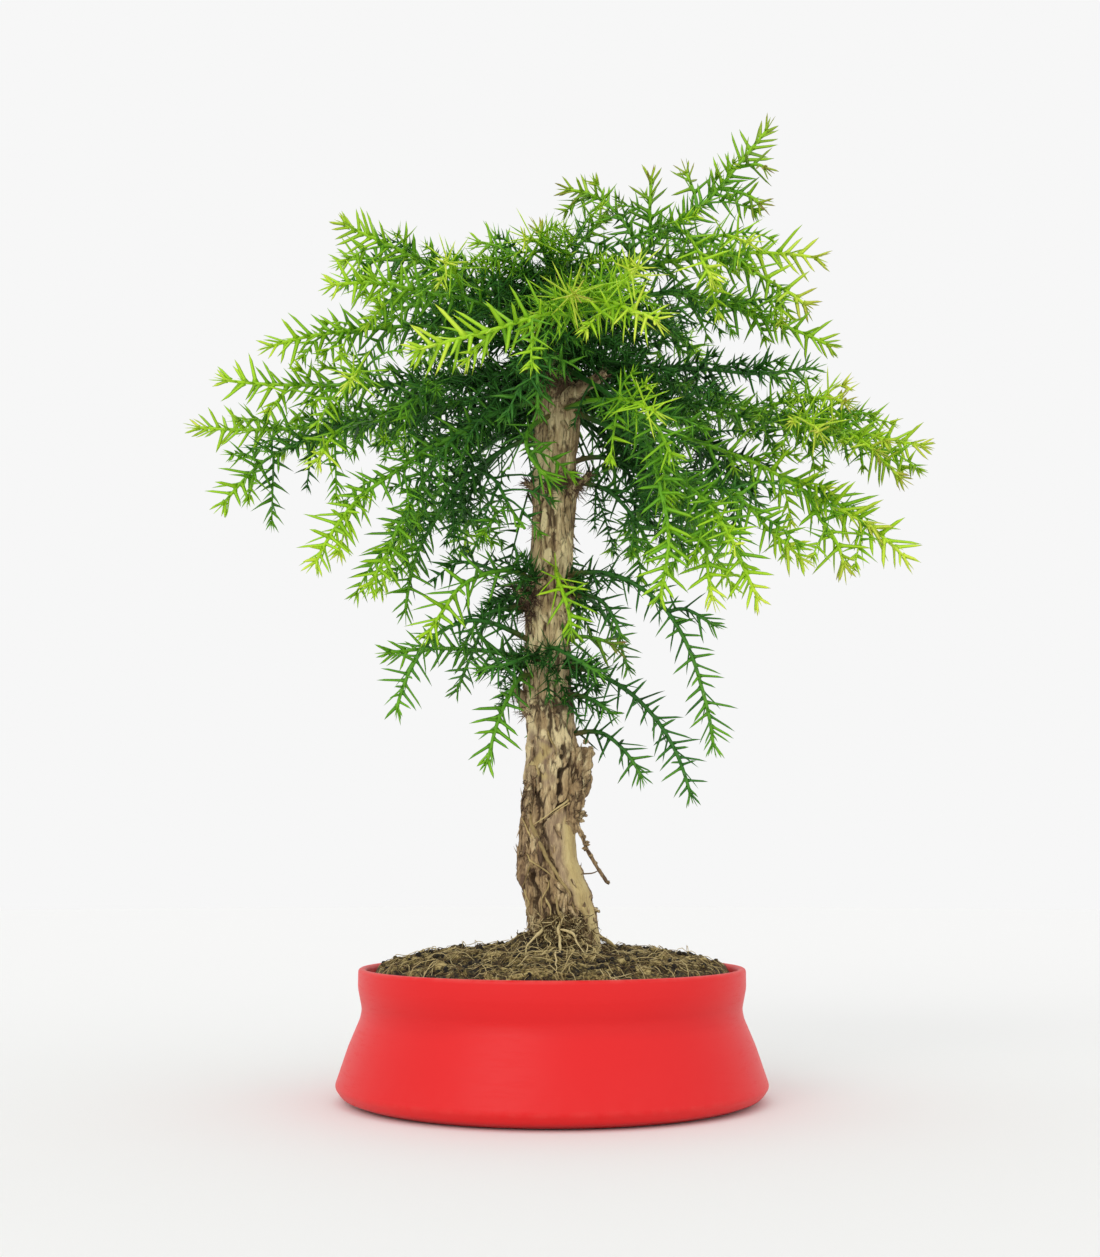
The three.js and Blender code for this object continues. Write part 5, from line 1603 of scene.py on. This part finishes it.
class BONSAI_OT_shoots(Operator):
    """Make the leafy shoots, one piece for each, and the dark twigs inside the crown"""

    bl_idname = "bonsai.shoots"
    bl_label = "Shoots"

    def execute(self, context):
        settings = context.scene.bonsai.leaf
        finishes = {tone: needle_finish(tone, settings) for tone in TONES}
        laid, branch = {}, None
        for row in SHOOTS.strip().splitlines():
            shoot = Shoot(row, branch)
            branch = shoot if shoot.parent is None else branch
            laid[shoot.name] = shoot
        random = np.random.default_rng(11)
        grown = {name: shoot_shape(shoot, settings, random) for name, shoot in laid.items()}
        for name, shoot in laid.items():
            if shoot.node != name:
                continue
            whole = join([grown[other] for other, part in laid.items() if part.node == name])
            tone = shoot.branch_tone
            make_piece("leaves_" + name, whole, finishes[tone], "needles_" + tone, "shoot_" + name)
        inner = join([inner_twigs(row, settings, random) for row in INNER_TWIGS])
        make_piece("leaves_core", inner, finishes["dark"], "needles_dark")
        return {"FINISHED"}


# Stage

LENS, SENSOR_WIDTH, CAMERA_TILT = 47.73, 36, 7.88
FLOOR_RADIUS, FLOOR_SIDES = 4000, 96


def lamp(name, place, spread, energy):
    """Soft light from the direction of a place, as from a large far lamp of an angle."""
    data = bpy.data.lights.new(name, "SUN")
    data.angle, data.energy = radians(spread), energy
    sun = link(name, data)
    ahead = unit(-np.array(place))
    yaw = np.arctan2(ahead[1], ahead[0]) - np.pi / 2
    sun.location, sun.rotation_euler = place, (np.pi / 2 + np.arcsin(ahead[2]), 0, yaw)


class BONSAI_OT_stage(Operator):
    """Make the pale floor, the soft lights and the camera"""

    bl_idname = "bonsai.stage"
    bl_label = "Stage"

    def execute(self, context):
        scene, settings = context.scene, context.scene.bonsai.stage
        rim = (FLOOR_RADIUS * outward(circle(FLOOR_SIDES)) - 0.4 * UP) * MM
        mesh = bpy.data.meshes.new("floor")
        mesh.from_pydata(rim.tolist(), [], [list(range(FLOOR_SIDES))])
        f = Finish("floor")
        base = f.mix(f.speckle(f.where(), 500, 2) * 0.04, settings.floor, "#e4e4e2")
        mesh.materials.append(f.shade(base, 0.9))
        floor = link("floor", mesh)

        world = bpy.data.worlds.new("studio")
        world.use_nodes = True
        background = world.node_tree.nodes["Background"]
        background.inputs["Color"].default_value = (1, 1, 1, 1)
        background.inputs["Strength"].default_value = settings.sky
        scene.world = world
        scene.view_settings.view_transform = "Standard"
        lamp("key", (-0.8, -1.5, 1.0), 40, settings.key)
        lamp("fill", (1.2, -1.3, 0.35), 60, settings.fill)

        data = bpy.data.cameras.new("camera")
        data.lens, data.sensor_width = LENS, SENSOR_WIDTH
        camera = link("camera", data)
        camera.location, camera.rotation_euler = EYE * MM, (radians(90 + CAMERA_TILT), 0, 0)
        scene.camera = camera
        return {"FINISHED"}


class BONSAI_PT_panel(Panel):
    """The pieces and their settings"""

    bl_idname = "BONSAI_PT_panel"
    bl_label = "Bonsai"
    bl_space_type = "VIEW_3D"
    bl_region_type = "UI"
    bl_category = "Bonsai"

    def draw(self, context):
        for operator, group in PARTS:
            box = self.layout.box()
            box.operator(operator.bl_idname)
            settings = getattr(context.scene.bonsai, group)
            for name in settings.__annotations__:
                box.prop(settings, name)


GROUPS = [PotSettings, SoilSettings, BarkSettings, LeafSettings, StageSettings, BonsaiSettings]
OPERATORS = [BONSAI_OT_stage, BONSAI_OT_pot, BONSAI_OT_soil, BONSAI_OT_trunk, BONSAI_OT_shoots]
PARTS = list(zip(OPERATORS, ("stage", "pot", "soil", "bark", "leaf")))
CLASSES = [*GROUPS, *OPERATORS, BONSAI_PT_panel]


def register():
    for each in CLASSES:
        bpy.utils.register_class(each)
    bpy.types.Scene.bonsai = PointerProperty(type=BonsaiSettings)


def unregister():
    del bpy.types.Scene.bonsai
    for each in reversed(CLASSES):
        bpy.utils.unregister_class(each)


def main():
    """Makes every piece."""
    register()
    bpy.ops.bonsai.stage()
    bpy.ops.bonsai.pot()
    bpy.ops.bonsai.soil()
    bpy.ops.bonsai.trunk()
    bpy.ops.bonsai.shoots()


if __name__ == "__main__":
    main()
